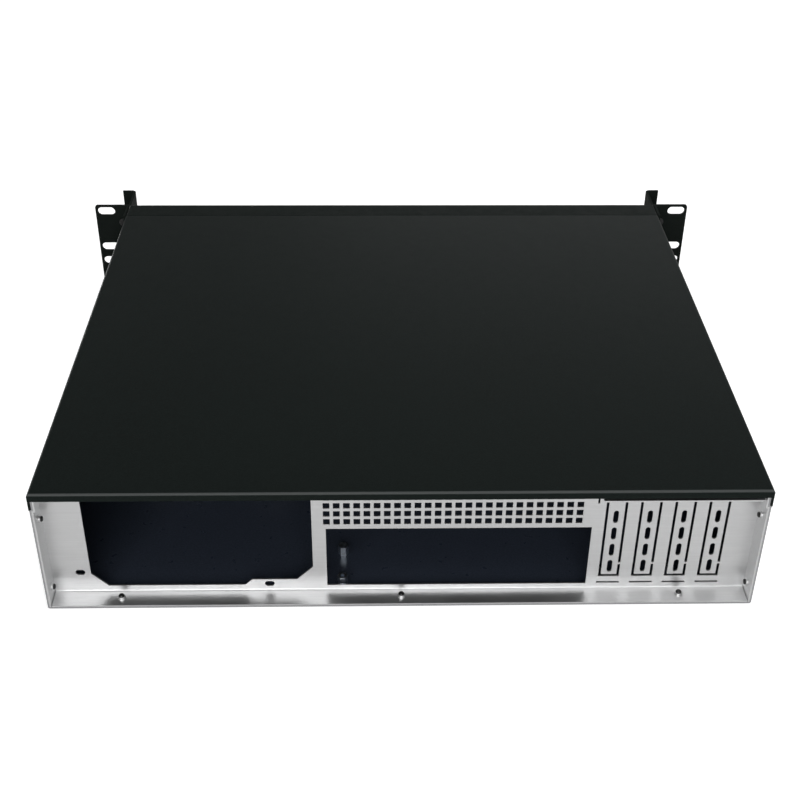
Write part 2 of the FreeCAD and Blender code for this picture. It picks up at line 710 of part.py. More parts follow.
def roof_section():
    """Section that the cover and the strip before it share: a top with a skirt down each side."""
    low = S.case_height - S.skirt_height
    inner = half_width - S.cover_sheet
    right = [(half_width, S.case_height), (half_width, low), (inner, low), (inner, cover_under)]
    return right + mirrored(right)


def make_top_cover():
    """Lift-off cover: top, two skirts with open screw notches and a rear lip."""
    body = new_body("top_cover")
    front = S.strip_depth + S.seam_gap
    inner = half_width - S.cover_sheet
    lip_low = S.case_height - S.lip_height
    pad(body, "XZ_Plane", front, cover_end, outline_of(roof_section()))
    pad(body, "XZ_Plane", S.case_depth + S.cover_gap, cover_end,
        rectangles((-inner, inner, lip_low, cover_under)))
    skirt_low = S.case_height - S.skirt_height
    notch_top = S.cover_screw_level + S.notch_half
    notches = [(y - S.notch_half, y + S.notch_half, skirt_low, notch_top) for y in cover_screw_rows]
    pocket(body, "YZ_Plane", -half_width, half_width, rectangles(*notches))
    round_edges(body, S.cover_bend, lambda point: is_at(point.z, S.case_height)
                and (is_at(abs(point.x), half_width) or is_at(point.y, cover_end)))
    return body


def make_front_panel():
    """Front panel with the fixed top strip, air slots, openings and a foot open for the cage's walls."""
    body = new_body("front_panel")
    inner = half_width - S.cover_sheet - S.tray_bend
    pad(body, "XZ_Plane", front_face, S.strip_depth, outline_of(roof_section()))
    pad(body, "XZ_Plane", front_face, 0.0, rectangles((-half_width, half_width, 0.0, cover_under)))
    walls = (S.bay_middle - small_wall - S.cage_sheet, S.bay_middle + small_wall)
    ends = [-inner, inner]
    for wall in walls:
        ends[-1:-1] = [wall - S.cover_gap, wall + S.cage_sheet + S.cover_gap]
    feet = [(left, right, front_face, S.front_return) for left, right in zip(ends[::2], ends[1::2])]
    pad(body, "XY_Plane", floor_top, floor_top + S.cover_sheet, rectangles(*feet))
    round_edges(body, S.cover_bend, lambda point: is_at(point.z, S.case_height)
                and (is_at(abs(point.x), half_width) or is_at(point.y, front_face)))
    cut_louvres(body)
    cut_control_openings(body)
    return body


def cut_louvres(body):
    """Two fields of air slots, one before each fan."""
    rows, columns = 10, 2
    first_side = S.fan_first - (S.louvre_shift + S.louvre_length) / 2
    first_rise = S.fan_level - S.louvre_rise * ((rows - 1) / 2) - S.louvre_height / 2
    for field in range(2):
        left = first_side + S.fan_pitch * field
        first = (left, left + S.louvre_length, first_rise, first_rise + S.louvre_height)
        slot = pocket(body, "XZ_Plane", front_face, 0.0, rectangles(first))
        repeat(body, slot, columns, S.louvre_shift, rows, S.louvre_rise)


def cut_control_openings(body):
    """Openings of the buttons, lamps, data sockets and drive bays."""
    sides = (-0.5, 0.5)
    reach, rise = S.usb_width / 2 + S.cover_gap, S.usb_height / 2 + S.cover_gap
    sockets = [S.control_place + S.usb_pitch * side for side in sides]
    lamps = [(S.control_place + S.lamp_pitch * side, S.lamp_level) for side in sides]
    large = large_wall - S.bay_edge
    bays = (
        (S.bay_middle - large, S.bay_middle + large, S.large_bay_low + S.bay_edge,
         S.large_bay_low + S.large_bay_height - S.bay_edge),
        (S.bay_middle - small_wall, S.bay_middle + small_wall, S.small_bay_low,
         S.small_bay_low + S.small_bay_height),
    )

    def draw(sketch):
        draw_circle(sketch, S.control_place, S.power_level, S.power_radius + S.button_gap)
        draw_circle(sketch, S.control_place, S.reset_level, S.reset_radius + S.button_gap)
        circles(lamps, S.lamp_radius + S.cover_gap)(sketch)
        rectangles(*[(x - reach, x + reach, S.usb_level - rise, S.usb_level + rise)
                     for x in sockets])(sketch)
        rectangles(*bays)(sketch)

    pocket(body, "XZ_Plane", front_face, 0.0, draw)


# ---------------------------------------------------------------------------------------
# Ears and handles
# ---------------------------------------------------------------------------------------
def make_ear(label, side):
    """Rack ear: a plate with four slots, folded to a leg that is screwed to the tray's side."""
    body = new_body(label)
    low, top = S.ear_lift, S.ear_lift + S.ear_height
    outer = S.ear_span / 2
    plate = spans(side, half_width, outer)
    leg = spans(side, half_width, half_width + S.ear_sheet)
    pad(body, "XZ_Plane", ear_front, 0.0, rectangles((*plate, low, top)))
    pad(body, "XZ_Plane", ear_front, S.strip_depth, rectangles((*leg, low, top)))
    round_edges(body, S.ear_corner, lambda point: is_at(abs(point.x), outer)
                and (is_at(point.z, low) or is_at(point.z, top)))
    levels = [S.rack_slot_low]
    for step in (S.rack_long_step, S.rack_short_step, S.rack_long_step):
        levels.append(levels[-1] + step)

    def draw_slots(sketch):
        for level in levels:
            draw_slot(sketch, S.rack_span / 2 * side, level, S.rack_slot_length, S.rack_slot_width)

    pocket(body, "XZ_Plane", ear_front, 0.0, draw_slots)
    return body


def make_handle(label, side):
    """Pull handle pressed as a channel, with a finger opening through its web."""
    body = new_body(label)
    low, top = S.handle_low, S.handle_low + S.handle_height
    near_side = half_width + S.handle_offset
    far_side = near_side + S.handle_width
    inside = near_side + S.handle_sheet
    pad(body, "XY_Plane", low, top, rectangles((*spans(side, near_side, far_side), handle_front, ear_front)))
    pocket(body, "XY_Plane", low, top, rectangles((*spans(side, inside, far_side),
           handle_front + S.handle_sheet, ear_front - S.handle_sheet)))
    round_edges(body, S.handle_bend, lambda point: is_at(abs(point.x), near_side)
                and (is_at(point.y, handle_front) or is_at(point.y, ear_front)))
    round_edges(body, S.handle_bend - S.handle_sheet, lambda point: is_at(abs(point.x), inside)
                and (is_at(point.y, handle_front + S.handle_sheet)
                     or is_at(point.y, ear_front - S.handle_sheet)))
    middle_y = (handle_front + ear_front) / 2
    middle_z = (low + top) / 2
    reach_y, reach_z = S.finger_depth / 2, S.finger_height / 2
    pocket(body, "YZ_Plane", *spans(side, near_side, inside),
           rectangles((middle_y - reach_y, middle_y + reach_y, middle_z - reach_z, middle_z + reach_z)))
    round_edges(body, S.finger_corner, lambda point: is_at(abs(point.y - middle_y.value), reach_y)
                and is_at(abs(point.z - middle_z.value), reach_z))
    return body


# ---------------------------------------------------------------------------------------
# Fans, each in its own axes: centre of the fan's front at the origin
# ---------------------------------------------------------------------------------------
def make_fan_frame(label):
    """Square fan frame with closed corners: a round duct, and a motor base on four struts."""
    body = new_body(label)
    reach = S.fan_size / 2
    centre = [(0.0, 0.0)]
    base_start = S.fan_depth - S.fan_base
    side = reach - S.fan_corner
    half_outline = [(side, -reach), (reach, -side), (reach, side), (side, reach)]
    pad(body, "XZ_Plane", 0.0, S.fan_depth, outline_of(half_outline + mirrored(half_outline)))
    pocket(body, "XZ_Plane", 0.0, S.fan_depth, circles(centre, S.fan_duct))
    half, end = S.fan_strut / 2, (S.fan_duct + reach) / 2
    cross = [
        (end, -half), (end, half), (half, half), (half, end), (-half, end), (-half, half),
        (-end, half), (-end, -half), (-half, -half), (-half, -end), (half, -end), (half, -half),
    ]
    pad(body, "XZ_Plane", base_start, S.fan_depth, outline_of(cross))
    pad(body, "XZ_Plane", base_start, S.fan_depth, circles(centre, S.fan_base_radius))
    pocket(body, "XZ_Plane", base_start, S.fan_depth, circles(centre, S.fan_shaft + S.shaft_gap))
    return body


def make_fan_rotor(label):
    """Fan rotor: a hub with its shaft and seven slanted blades."""
    blades = 7
    body = new_body(label)
    hub_end = S.hub_front + S.hub_length
    centre = [(0.0, 0.0)]
    pad(body, "XZ_Plane", S.hub_front, hub_end, circles(centre, S.hub_radius))
    pad(body, "XZ_Plane", hub_end, S.fan_depth - S.shaft_end, circles(centre, S.fan_shaft))
    corners = blade_corners(S.hub_front + S.hub_length / 2)
    blade = pad(body, "YZ_Plane", 0.0, S.blade_tip, outline_of(corners))
    ring = body.newObject("PartDesign::PolarPattern", f"{label}_blades")
    ring.Originals = [blade]
    ring.Axis = (origin_feature(body, "Y_Axis"), [""])
    ring.Angle = 360
    ring.Occurrences = blades
    body.Tip = ring
    doc.recompute()
    return body


def blade_corners(middle):
    """Section of a blade: a thin strip, slanted to the fan's plane, about a middle on the axis."""
    slope = math.radians(S.blade_slope.value)
    sine = Size(math.sin(slope), f"sin({S.blade_slope.text} * 1 deg)")
    cosine = Size(math.cos(slope), f"cos({S.blade_slope.text} * 1 deg)")
    corners = []
    for along, across in ((-1, -1), (1, -1), (1, 1), (-1, 1)):
        chord, sheet_half = S.blade_chord / 2 * along, S.blade_sheet / 2 * across
        corners.append((middle + chord.times(sine) - sheet_half.times(cosine),
                        chord.times(cosine) + sheet_half.times(sine)))
    return corners


# ---------------------------------------------------------------------------------------
# Controls behind the front panel
# ---------------------------------------------------------------------------------------
def make_button(label, radius):
    """Push button in its own axes: cap, rim behind the panel and a square stem into its switch."""
    body = new_body(label)
    face = front_face - S.button_stand
    rim_end = S.button_seat + S.button_rim
    stem_end = S.board_stand - S.switch_height + S.stem_entry
    half = S.stem_side / 2
    centre = [(0.0, 0.0)]
    pad(body, "XZ_Plane", face, S.button_seat, circles(centre, radius))
    pad(body, "XZ_Plane", S.button_seat, rim_end, circles(centre, radius + S.button_rim))
    pad(body, "XZ_Plane", rim_end, stem_end, rectangles((-half, half, -half, half)))
    return body


def make_lamp(label):
    """Light pipe in its own axes, from the control board to just before the panel."""
    body = new_body(label)
    pad(body, "XZ_Plane", front_face - S.lamp_stand, S.board_stand, circles([(0.0, 0.0)], S.lamp_radius))
    return body


def make_control_board():
    """Board that carries the switches, the data sockets and the feet of the lamps."""
    body = new_body("control_board")
    left = S.control_place - S.board_width / 2
    pad(body, "XZ_Plane", S.board_stand, S.board_stand + S.board_sheet,
        rectangles((left, left + S.board_width, S.board_low, S.board_low + S.board_height)))
    return body


def make_control_switches():
    """The two switches on the board, each with a bore for its button's stem."""
    switches = []
    front = S.board_stand - S.switch_height
    reach = S.switch_side / 2
    bore_reach = S.stem_side / 2 + S.stem_gap
    bore_end = front + S.stem_entry + S.button_travel + S.cover_gap
    for name, level in (("power", S.power_level), ("reset", S.reset_level)):
        block = box(f"{name}_switch_block", S.control_place - reach, S.control_place + reach, front,
                    S.board_stand, level - reach, level + reach)
        bore = box(f"{name}_switch_bore", S.control_place - bore_reach, S.control_place + bore_reach, front,
                   bore_end, level - bore_reach, level + bore_reach)
        switches.append(cut(f"{name}_switch", block, bore))
    return group("control_switches", switches)


def socket_middles():
    """Middles of the two data sockets."""
    return [S.control_place + S.usb_pitch * side for side in (-0.5, 0.5)]


def make_usb_sockets():
    """Shells of the two data sockets, closed at the control board."""
    shells = []
    reach, rise = S.usb_width / 2, S.usb_height / 2
    inner_reach, inner_rise = reach - S.usb_sheet, rise - S.usb_sheet
    for number, x in enumerate(socket_middles(), start=1):
        block = box(f"socket_block_{number}", x - reach, x + reach, front_face, S.board_stand,
                    S.usb_level - rise, S.usb_level + rise)
        hollow = box(f"socket_hollow_{number}", x - inner_reach, x + inner_reach, front_face,
                     S.board_stand - S.usb_base, S.usb_level - inner_rise, S.usb_level + inner_rise)
        shells.append(cut(f"socket_{number}", block, hollow))
    return group("usb_sockets", shells)


def make_usb_tongues():
    """Plastic tongues inside the two data sockets."""
    tongues = []
    end = S.board_stand - S.usb_base
    top = S.usb_level + S.usb_tongue_height
    for number, x in enumerate(socket_middles(), start=1):
        tongues.append(box(f"tongue_{number}", x - S.usb_tongue_width / 2, x + S.usb_tongue_width / 2,
                           end - S.usb_tongue_length, end, S.usb_level, top))
    return group("usb_tongues", tongues)


def hexagon(label, x, y, z, width, length, axis=(0, 0, 1)):
    """A hexagonal post from a point along an axis, by its width across flats."""
    post = doc.addObject("Part::Prism", label)
    post.Polygon = 6
    post.setExpression("Circumradius", f"({width.text} / sqrt(3))")
    post.setExpression("Height", as_size(length).text)
    return put(post, x, y, z, axis)


def make_board_spacers():
    """Hexagonal spacers between the front panel and the control board."""
    return group("board_spacers", [
        hexagon(f"spacer_{number}", x, 0.0, z, S.spacer_width, S.board_stand, (0, 1, 0))
        for number, (x, z) in enumerate(spacer_places, start=1)])


# ---------------------------------------------------------------------------------------
# Drive bays
# ---------------------------------------------------------------------------------------
def make_drive_cage():
    """Cage of the drive bays: a small bay on the floor and a large one above its shelf."""
    body = new_body("drive_cage")
    top = S.large_bay_low + S.large_bay_height
    half = [
        (large_wall, S.large_bay_low), (large_wall, top), (large_wall + S.cage_sheet, top),
        (large_wall + S.cage_sheet, shelf_under), (small_wall + S.cage_sheet, shelf_under),
        (small_wall + S.cage_sheet, floor_top), (small_wall, floor_top), (small_wall, shelf_under),
    ]
    section = [(S.bay_middle + u, v) for u, v in half + mirrored(half)]
    pad(body, "XZ_Plane", 0.0, S.bay_depth, outline_of(section))
    feet = []
    for side in (-1, 1):
        near_side, far_side = spans(side, small_wall, small_wall + S.cage_sheet + S.cage_foot_width)
        for front in cage_feet:
            feet.append((S.bay_middle + near_side, S.bay_middle + far_side,
                         front, front + S.cage_foot_length))
    pad(body, "XY_Plane", floor_top, floor_top + S.cage_sheet, rectangles(*feet))
    cut_drive_slots(body)
    return body


def cut_drive_slots(body):
    """Slots for the drives' side screws, in the walls of both bays."""
    columns = 2
    outer = large_wall + S.cage_sheet
    start, end = S.bay_middle - outer, S.bay_middle + outer
    large = pocket(body, "YZ_Plane", start, end,
                   lambda sketch: draw_slot(sketch, S.large_slot_first, S.large_bay_low + S.large_slot_rise,
                                            S.drive_slot_length, S.drive_slot_width))
    repeat(body, large, columns, S.large_slot_pitch)
    small = pocket(body, "YZ_Plane", start, end,
                   lambda sketch: draw_slot(sketch, S.small_slot_first, S.small_bay_low + S.small_slot_rise,
                                            S.drive_slot_length, S.drive_slot_width))
    repeat(body, small, columns, S.small_slot_pitch)


def make_bay_cover(label, half_opening, low, height):
    """Plastic blank that fills a bay's opening and holds by a clip at each end."""
    body = new_body(label)
    half = half_opening - S.bay_cover_gap
    left, right = S.bay_middle - half, S.bay_middle + half
    bottom, top = low + S.bay_cover_gap, low + height - S.bay_cover_gap
    front = front_face - S.bay_edge
    back = front + S.bay_cover_sheet
    rise = (top - bottom) / 4
    pad(body, "XZ_Plane", front, back, rectangles((left, right, bottom, top)))
    pad(body, "XZ_Plane", back, back + S.clip_length, rectangles(
        (left, left + S.clip_sheet, bottom + rise, top - rise),
        (right - S.clip_sheet, right, bottom + rise, top - rise)))
    return body


# ---------------------------------------------------------------------------------------
# Stop for the power supply, cross brace and standoffs
# ---------------------------------------------------------------------------------------
def make_psu_bracket():
    """Angle on the floor, whose upright side the power supply's front rests against."""
    body = new_body("psu_bracket")
    left, right = stop_middle - S.stop_width / 2, stop_middle + S.stop_width / 2
    upright = stop_face - S.stop_sheet
    foot_top = floor_top + S.stop_sheet
    section = [
        (stop_face - S.stop_foot, floor_top), (stop_face, floor_top), (stop_face, floor_top + S.stop_height),
        (upright, floor_top + S.stop_height), (upright, foot_top), (stop_face - S.stop_foot, foot_top),
    ]
    pad(body, "YZ_Plane", left, right, outline_of(section))
    half, low = S.stop_window_width / 2, floor_top + S.stop_window_low
    pocket(body, "XZ_Plane", upright, stop_face,
           rectangles((stop_middle - half, stop_middle + half, low, low + S.stop_window_height)))
    return body


def make_cross_brace():
    """Channel under the tray's top flanges, which keeps the sides apart under the cover."""
    body = new_body("cross_brace")
    top = tray_top - S.tray_sheet
    end = wall_high - S.tray_sheet - S.cover_gap
    back = S.brace_front + S.brace_width
    inner_front, inner_back = S.brace_front + S.brace_sheet, back - S.brace_sheet
    low, web = top - S.brace_height, top - S.brace_sheet
    section = [
        (S.brace_front, low), (inner_front, low), (inner_front, web), (inner_back, web), (inner_back, low),
        (back, low), (back, top), (S.brace_front, top),
    ]
    pad(body, "YZ_Plane", -end, end, outline_of(section))
    return body


def make_standoffs():
    """Hexagonal standoffs on the floor, with a thread from above."""
    standoffs = []
    start = floor_top + S.standoff_height - S.standoff_thread
    for number, (x, y) in enumerate(standoff_places, start=1):
        post = hexagon(f"standoff_post_{number}", x, y, floor_top, S.standoff_width, S.standoff_height)
        bore = cylinder(f"standoff_bore_{number}", x, y, start, S.standoff_bore, S.standoff_thread)
        standoffs.append(cut(f"standoff_{number}", post, bore))
    return group("motherboard_standoffs", standoffs)


# ---------------------------------------------------------------------------------------
# Assembly
# ---------------------------------------------------------------------------------------
def make_all():
    """Every piece with the place of its own origin in the case."""
    here = (ZERO, ZERO)
    lamp_sides = [S.control_place + S.lamp_pitch * side for side in (-0.5, 0.5)]
    pieces = [
        (make_base_tray(), here),
        (make_rear_panel(), here),
        (make_top_cover(), here),
        (make_front_panel(), here),
        (make_ear("left_ear", -1), here),
        (make_ear("right_ear", 1), here),
        (make_handle("left_handle", -1), here),
        (make_handle("right_handle", 1), here),
        (make_standoffs(), here),
        (make_psu_bracket(), here),
        (make_cross_brace(), here),
        (make_drive_cage(), here),
        (make_bay_cover("large_bay_cover", large_wall - S.bay_edge, S.large_bay_low + S.bay_edge,
                        S.large_bay_height - S.bay_edge * 2), here),
        (make_bay_cover("small_bay_cover", small_wall, S.small_bay_low, S.small_bay_height), here),
        (make_control_board(), here),
        (make_control_switches(), here),
        (make_usb_sockets(), here),
        (make_usb_tongues(), here),
        (make_board_spacers(), here),
        (make_button("power_button", S.power_radius), (S.control_place, S.power_level)),
        (make_button("reset_button", S.reset_radius), (S.control_place, S.reset_level)),
        (make_lamp("power_lamp"), (lamp_sides[0], S.lamp_level)),
        (make_lamp("drive_lamp"), (lamp_sides[1], S.lamp_level)),
    ]
    for name, middle in zip(("fan_left", "fan_right"), fan_middles):
        pieces.append((make_fan_frame(name), (middle, S.fan_level)))
        pieces.append((make_fan_rotor(f"{name}_rotor"), (middle, S.fan_level)))
    return pieces


def check_document():
    """Stop if any object of the document failed."""
    for thing in doc.Objects:
        if {"Invalid", "Error"} & set(thing.State):
            raise RuntimeError(f"{thing.Label} failed: {thing.State}")


def main():
    """Build every piece, move it to the case's own origin, check it and write it."""
    pieces = make_all()
    middle = (handle_front + cover_end) / 2
    for piece, (x, z) in pieces:
        put(piece, x, -middle, z)
    doc.recompute()
    check_document()
    os.makedirs("parts", exist_ok=True)
    for piece, _ in pieces:
        shape = piece.Shape
        if shape.isNull() or not shape.isValid() or not shape.Solids:
            raise RuntimeError(f"{piece.Label} has no valid solid")
        shape.exportStep(os.path.join("parts", f"{piece.Label}.step"))
        print(f"{piece.Label}: {len(shape.Solids)} solids, {shape.Volume / 1000:.2f} cm3")


main()
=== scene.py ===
import logging
import math
from dataclasses import dataclass
from enum import Enum

import bmesh
import bpy
from mathutils import Matrix, Vector


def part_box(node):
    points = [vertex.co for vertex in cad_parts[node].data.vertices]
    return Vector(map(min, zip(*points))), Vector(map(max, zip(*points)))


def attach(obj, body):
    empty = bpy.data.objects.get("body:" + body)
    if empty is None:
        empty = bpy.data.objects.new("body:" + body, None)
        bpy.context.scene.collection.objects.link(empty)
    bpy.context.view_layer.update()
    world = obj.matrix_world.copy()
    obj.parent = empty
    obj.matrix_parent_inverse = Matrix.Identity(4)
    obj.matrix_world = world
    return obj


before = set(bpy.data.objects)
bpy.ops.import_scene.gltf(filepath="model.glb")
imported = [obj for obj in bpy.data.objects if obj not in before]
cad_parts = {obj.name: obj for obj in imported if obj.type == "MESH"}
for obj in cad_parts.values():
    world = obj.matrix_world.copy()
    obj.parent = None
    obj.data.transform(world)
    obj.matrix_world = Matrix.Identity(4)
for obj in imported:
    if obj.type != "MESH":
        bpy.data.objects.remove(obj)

log = logging.getLogger("server_case")

Place = tuple[float, float, float]
Colour = tuple[float, float, float]
Span = tuple[float, float]
Relief = tuple[float, float]  # strength, and depth in metres

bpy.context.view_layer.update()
MM = 0.001
WELD = 0.000001  # corners nearer than this, in metres, become one
AREA_WEIGHT = 0.001  # weight of a face's area against its height
CREASE = math.radians(32.0)  # edges stay sharp from this angle
UPRIGHT = Vector((0.0, 0.0, 1.0))
EVEN: Place = (1.0, 1.0, 1.0)


class Facing(Enum):
    """Directions in which a screw's head or a ring can point."""

    RIGHT = (1.0, 0.0, 0.0)
    LEFT = (-1.0, 0.0, 0.0)
    REAR = (0.0, 1.0, 0.0)
    FRONT = (0.0, -1.0, 0.0)
    UP = (0.0, 0.0, 1.0)

    def turn(self) -> Matrix:
        """Rotation from straight up to this direction."""
        return UPRIGHT.rotation_difference(Vector(self.value)).to_matrix().to_4x4()


class Axis(Enum):
    """Stretch of a noise whose lines run as a sheet was rolled or a surface was turned."""

    ACROSS = (0.03, 1.0, 1.0)
    DEEP = (1.0, 0.03, 1.0)


# ---- Node graphs of the finishes ----
class Graph:
    """A material's node graph round one principled shader."""

    # Sockets of a mix node that blends colours
    MIX_FACTOR, MIX_FIRST, MIX_SECOND, MIX_RESULT = 0, 6, 7, 2

    def __init__(self, name: str) -> None:
        """Starts a material that has only its shader and its output.

        Args:
            name: Name of the material.
        """
        self.material = bpy.data.materials.new(name)
        self.material.use_nodes = True
        self.tree = self.material.node_tree
        self.tree.nodes.clear()
        self.shader = self.tree.nodes.new("ShaderNodeBsdfPrincipled")
        self.output = self.tree.nodes.new("ShaderNodeOutputMaterial")
        self.tree.links.new(self.shader.outputs["BSDF"], self.output.inputs["Surface"])

    def node(self, kind: str, **values: object) -> bpy.types.Node:
        """Adds a node.

        Args:
            kind: Type of the node.
            **values: Its properties.

        Returns:
            The new node.
        """
        made = self.tree.nodes.new(kind)
        for name, value in values.items():
            setattr(made, name, value)
        return made

    def join(self, source: bpy.types.NodeSocket, target: bpy.types.NodeSocket) -> None:
        """Links an output to an input."""
        self.tree.links.new(source, target)

    def set(self, **values: object) -> None:
        """Sets constants on the shader's own sockets.

        Args:
            **values: Values by socket name, with underscores for spaces.
        """
        for name, value in values.items():
            self.shader.inputs[name.replace("_", " ")].default_value = value

    def place(self, stretch: Place = EVEN) -> bpy.types.NodeSocket:
        """Object coordinates, stretched along the axes.

        Args:
            stretch: Scale along each axis.

        Returns:
            The coordinates' socket.
        """
        source = self.node("ShaderNodeTexCoord")
        mapping = self.node("ShaderNodeMapping")
        mapping.inputs["Scale"].default_value = stretch
        self.join(source.outputs["Object"], mapping.inputs["Vector"])
        return mapping.outputs["Vector"]

    def noise(self, scale: float, detail: float = 3.0, stretch: Place = EVEN,
              roughness: float = 0.55) -> bpy.types.NodeSocket:
        """Noise on object coordinates.

        Args:
            scale: Features per metre.
            detail: Octaves of the noise.
            stretch: Scale along each axis.
            roughness: Share of the finer octaves.

        Returns:
            The noise's factor.
        """
        made = self.node("ShaderNodeTexNoise")
        made.inputs["Scale"].default_value = scale
        made.inputs["Detail"].default_value = detail
        made.inputs["Roughness"].default_value = roughness
        self.join(self.place(stretch), made.inputs["Vector"])
        return made.outputs["Fac"]

    def cells(self, scale: float) -> bpy.types.NodeSocket:
        """Random grey of irregular cells, as crystals in a zinc coat have.

        Args:
            scale: Cells per metre.

        Returns:
            The cells' colour.
        """
        made = self.node("ShaderNodeTexVoronoi")
        made.inputs["Scale"].default_value = scale
        self.join(self.place(), made.inputs["Vector"])
        return made.outputs["Color"]

    def along(self, direction: Place) -> bpy.types.NodeSocket:
        """Distance of the surface from the origin along a direction.

        Args:
            direction: The direction.

        Returns:
            The distance in metres.
        """
        made = self.node("ShaderNodeVectorMath", operation="DOT_PRODUCT")
        made.inputs[1].default_value = direction
        self.join(self.place(), made.inputs[0])
        return made.outputs["Value"]

    def outward(self) -> bpy.types.NodeSocket:
        """Tells faces that look away from the upright middle plane from those that face it.

        Returns:
            Distance from the plane in metres, above 0 where the surface looks outward and
            below 0 where it looks inward.
        """
        source = self.node("ShaderNodeTexCoord")
        product = self.node("ShaderNodeVectorMath", operation="MULTIPLY")
        self.join(source.outputs["Normal"], product.inputs[0])
        self.join(source.outputs["Object"], product.inputs[1])
        parts = self.node("ShaderNodeSeparateXYZ")
        self.join(product.outputs["Vector"], parts.inputs[0])
        return parts.outputs["X"]

    def span(self, value: bpy.types.NodeSocket, low: float, high: float,
             start: float = 0.3, end: float = 0.7) -> bpy.types.NodeSocket:
        """Maps part of a factor's range to new limits.

        Args:
            value: The factor.
            low: Result at the start.
            high: Result at the end.
            start: Lower limit of the factor.
            end: Upper limit of the factor.

        Returns:
            The mapped value.
        """
        made = self.node("ShaderNodeMapRange")
        limits = {"From Min": start, "From Max": end, "To Min": low, "To Max": high}
        for name, number in limits.items():
            made.inputs[name].default_value = number
        self.join(value, made.inputs["Value"])
        return made.outputs["Result"]

    def mix(self, factor: bpy.types.NodeSocket, first: Colour,
            second: Colour) -> bpy.types.NodeSocket:
        """Blends two colours.

        Args:
            factor: Share of the second colour.
            first: Colour at 0.
            second: Colour at 1.

        Returns:
            The blended colour.
        """
        made = self.node("ShaderNodeMix", data_type="RGBA")
        made.inputs[self.MIX_FIRST].default_value = (*first, 1.0)
        made.inputs[self.MIX_SECOND].default_value = (*second, 1.0)
        self.join(factor, made.inputs[self.MIX_FACTOR])
        return made.outputs[self.MIX_RESULT]

    def tint(self, base: bpy.types.NodeSocket, factor: bpy.types.NodeSocket,
             colour: Colour) -> bpy.types.NodeSocket:
        """Blends a colour over a blended one.

        Args:
            base: The colour below.
            factor: Share of the new colour.
            colour: The new colour.

        Returns:
            The blended colour.
        """
        made = self.node("ShaderNodeMix", data_type="RGBA")
        made.inputs[self.MIX_SECOND].default_value = (*colour, 1.0)
        self.join(base, made.inputs[self.MIX_FIRST])
        self.join(factor, made.inputs[self.MIX_FACTOR])
        return made.outputs[self.MIX_RESULT]

    def colour(self, source: bpy.types.NodeSocket) -> None:
        """Uses a colour as the shader's base colour."""
        self.join(source, self.shader.inputs["Base Color"])

    def roughness(self, source: bpy.types.NodeSocket) -> None:
        """Uses a value as the shader's roughness."""
        self.join(source, self.shader.inputs["Roughness"])

    def relief(self, *layers: tuple[bpy.types.NodeSocket, Relief]) -> None:
        """Adds relief to the surface, one layer over the other.

        Args:
            *layers: Height of each layer, with its strength and depth.
        """
        below = None
        for height, (strength, depth) in layers:
            bump = self.node("ShaderNodeBump")
            bump.inputs["Strength"].default_value = strength
            bump.inputs["Distance"].default_value = depth
            self.join(height, bump.inputs["Height"])
            if below is not None:
                self.join(below, bump.inputs["Normal"])
            below = bump.outputs["Normal"]
        self.join(below, self.shader.inputs["Normal"])


# ---- Finishes ----
@dataclass(frozen=True)
class Finish:
    """A finish of the case's pieces, with the name of the material slot that it fills."""

    name: str
    slot: str

    def make(self) -> bpy.types.Material:
        """Makes the finish's material."""
        raise NotImplementedError


@dataclass(frozen=True)
class PaintedHighlight:
    """A painted highlight: a paler band along a bend or a sheared edge, where it catches light.

    Attributes:
        across: Direction along which the band is measured.
        start: Place in mm along it where the band starts to show.
        end: Place in mm along it from which the band shows in full.
        colour: Colour of the band.
        share: Share of that colour in full.
    """

    across: Place
    start: float
    end: float
    colour: Colour
    share: float = 0.8


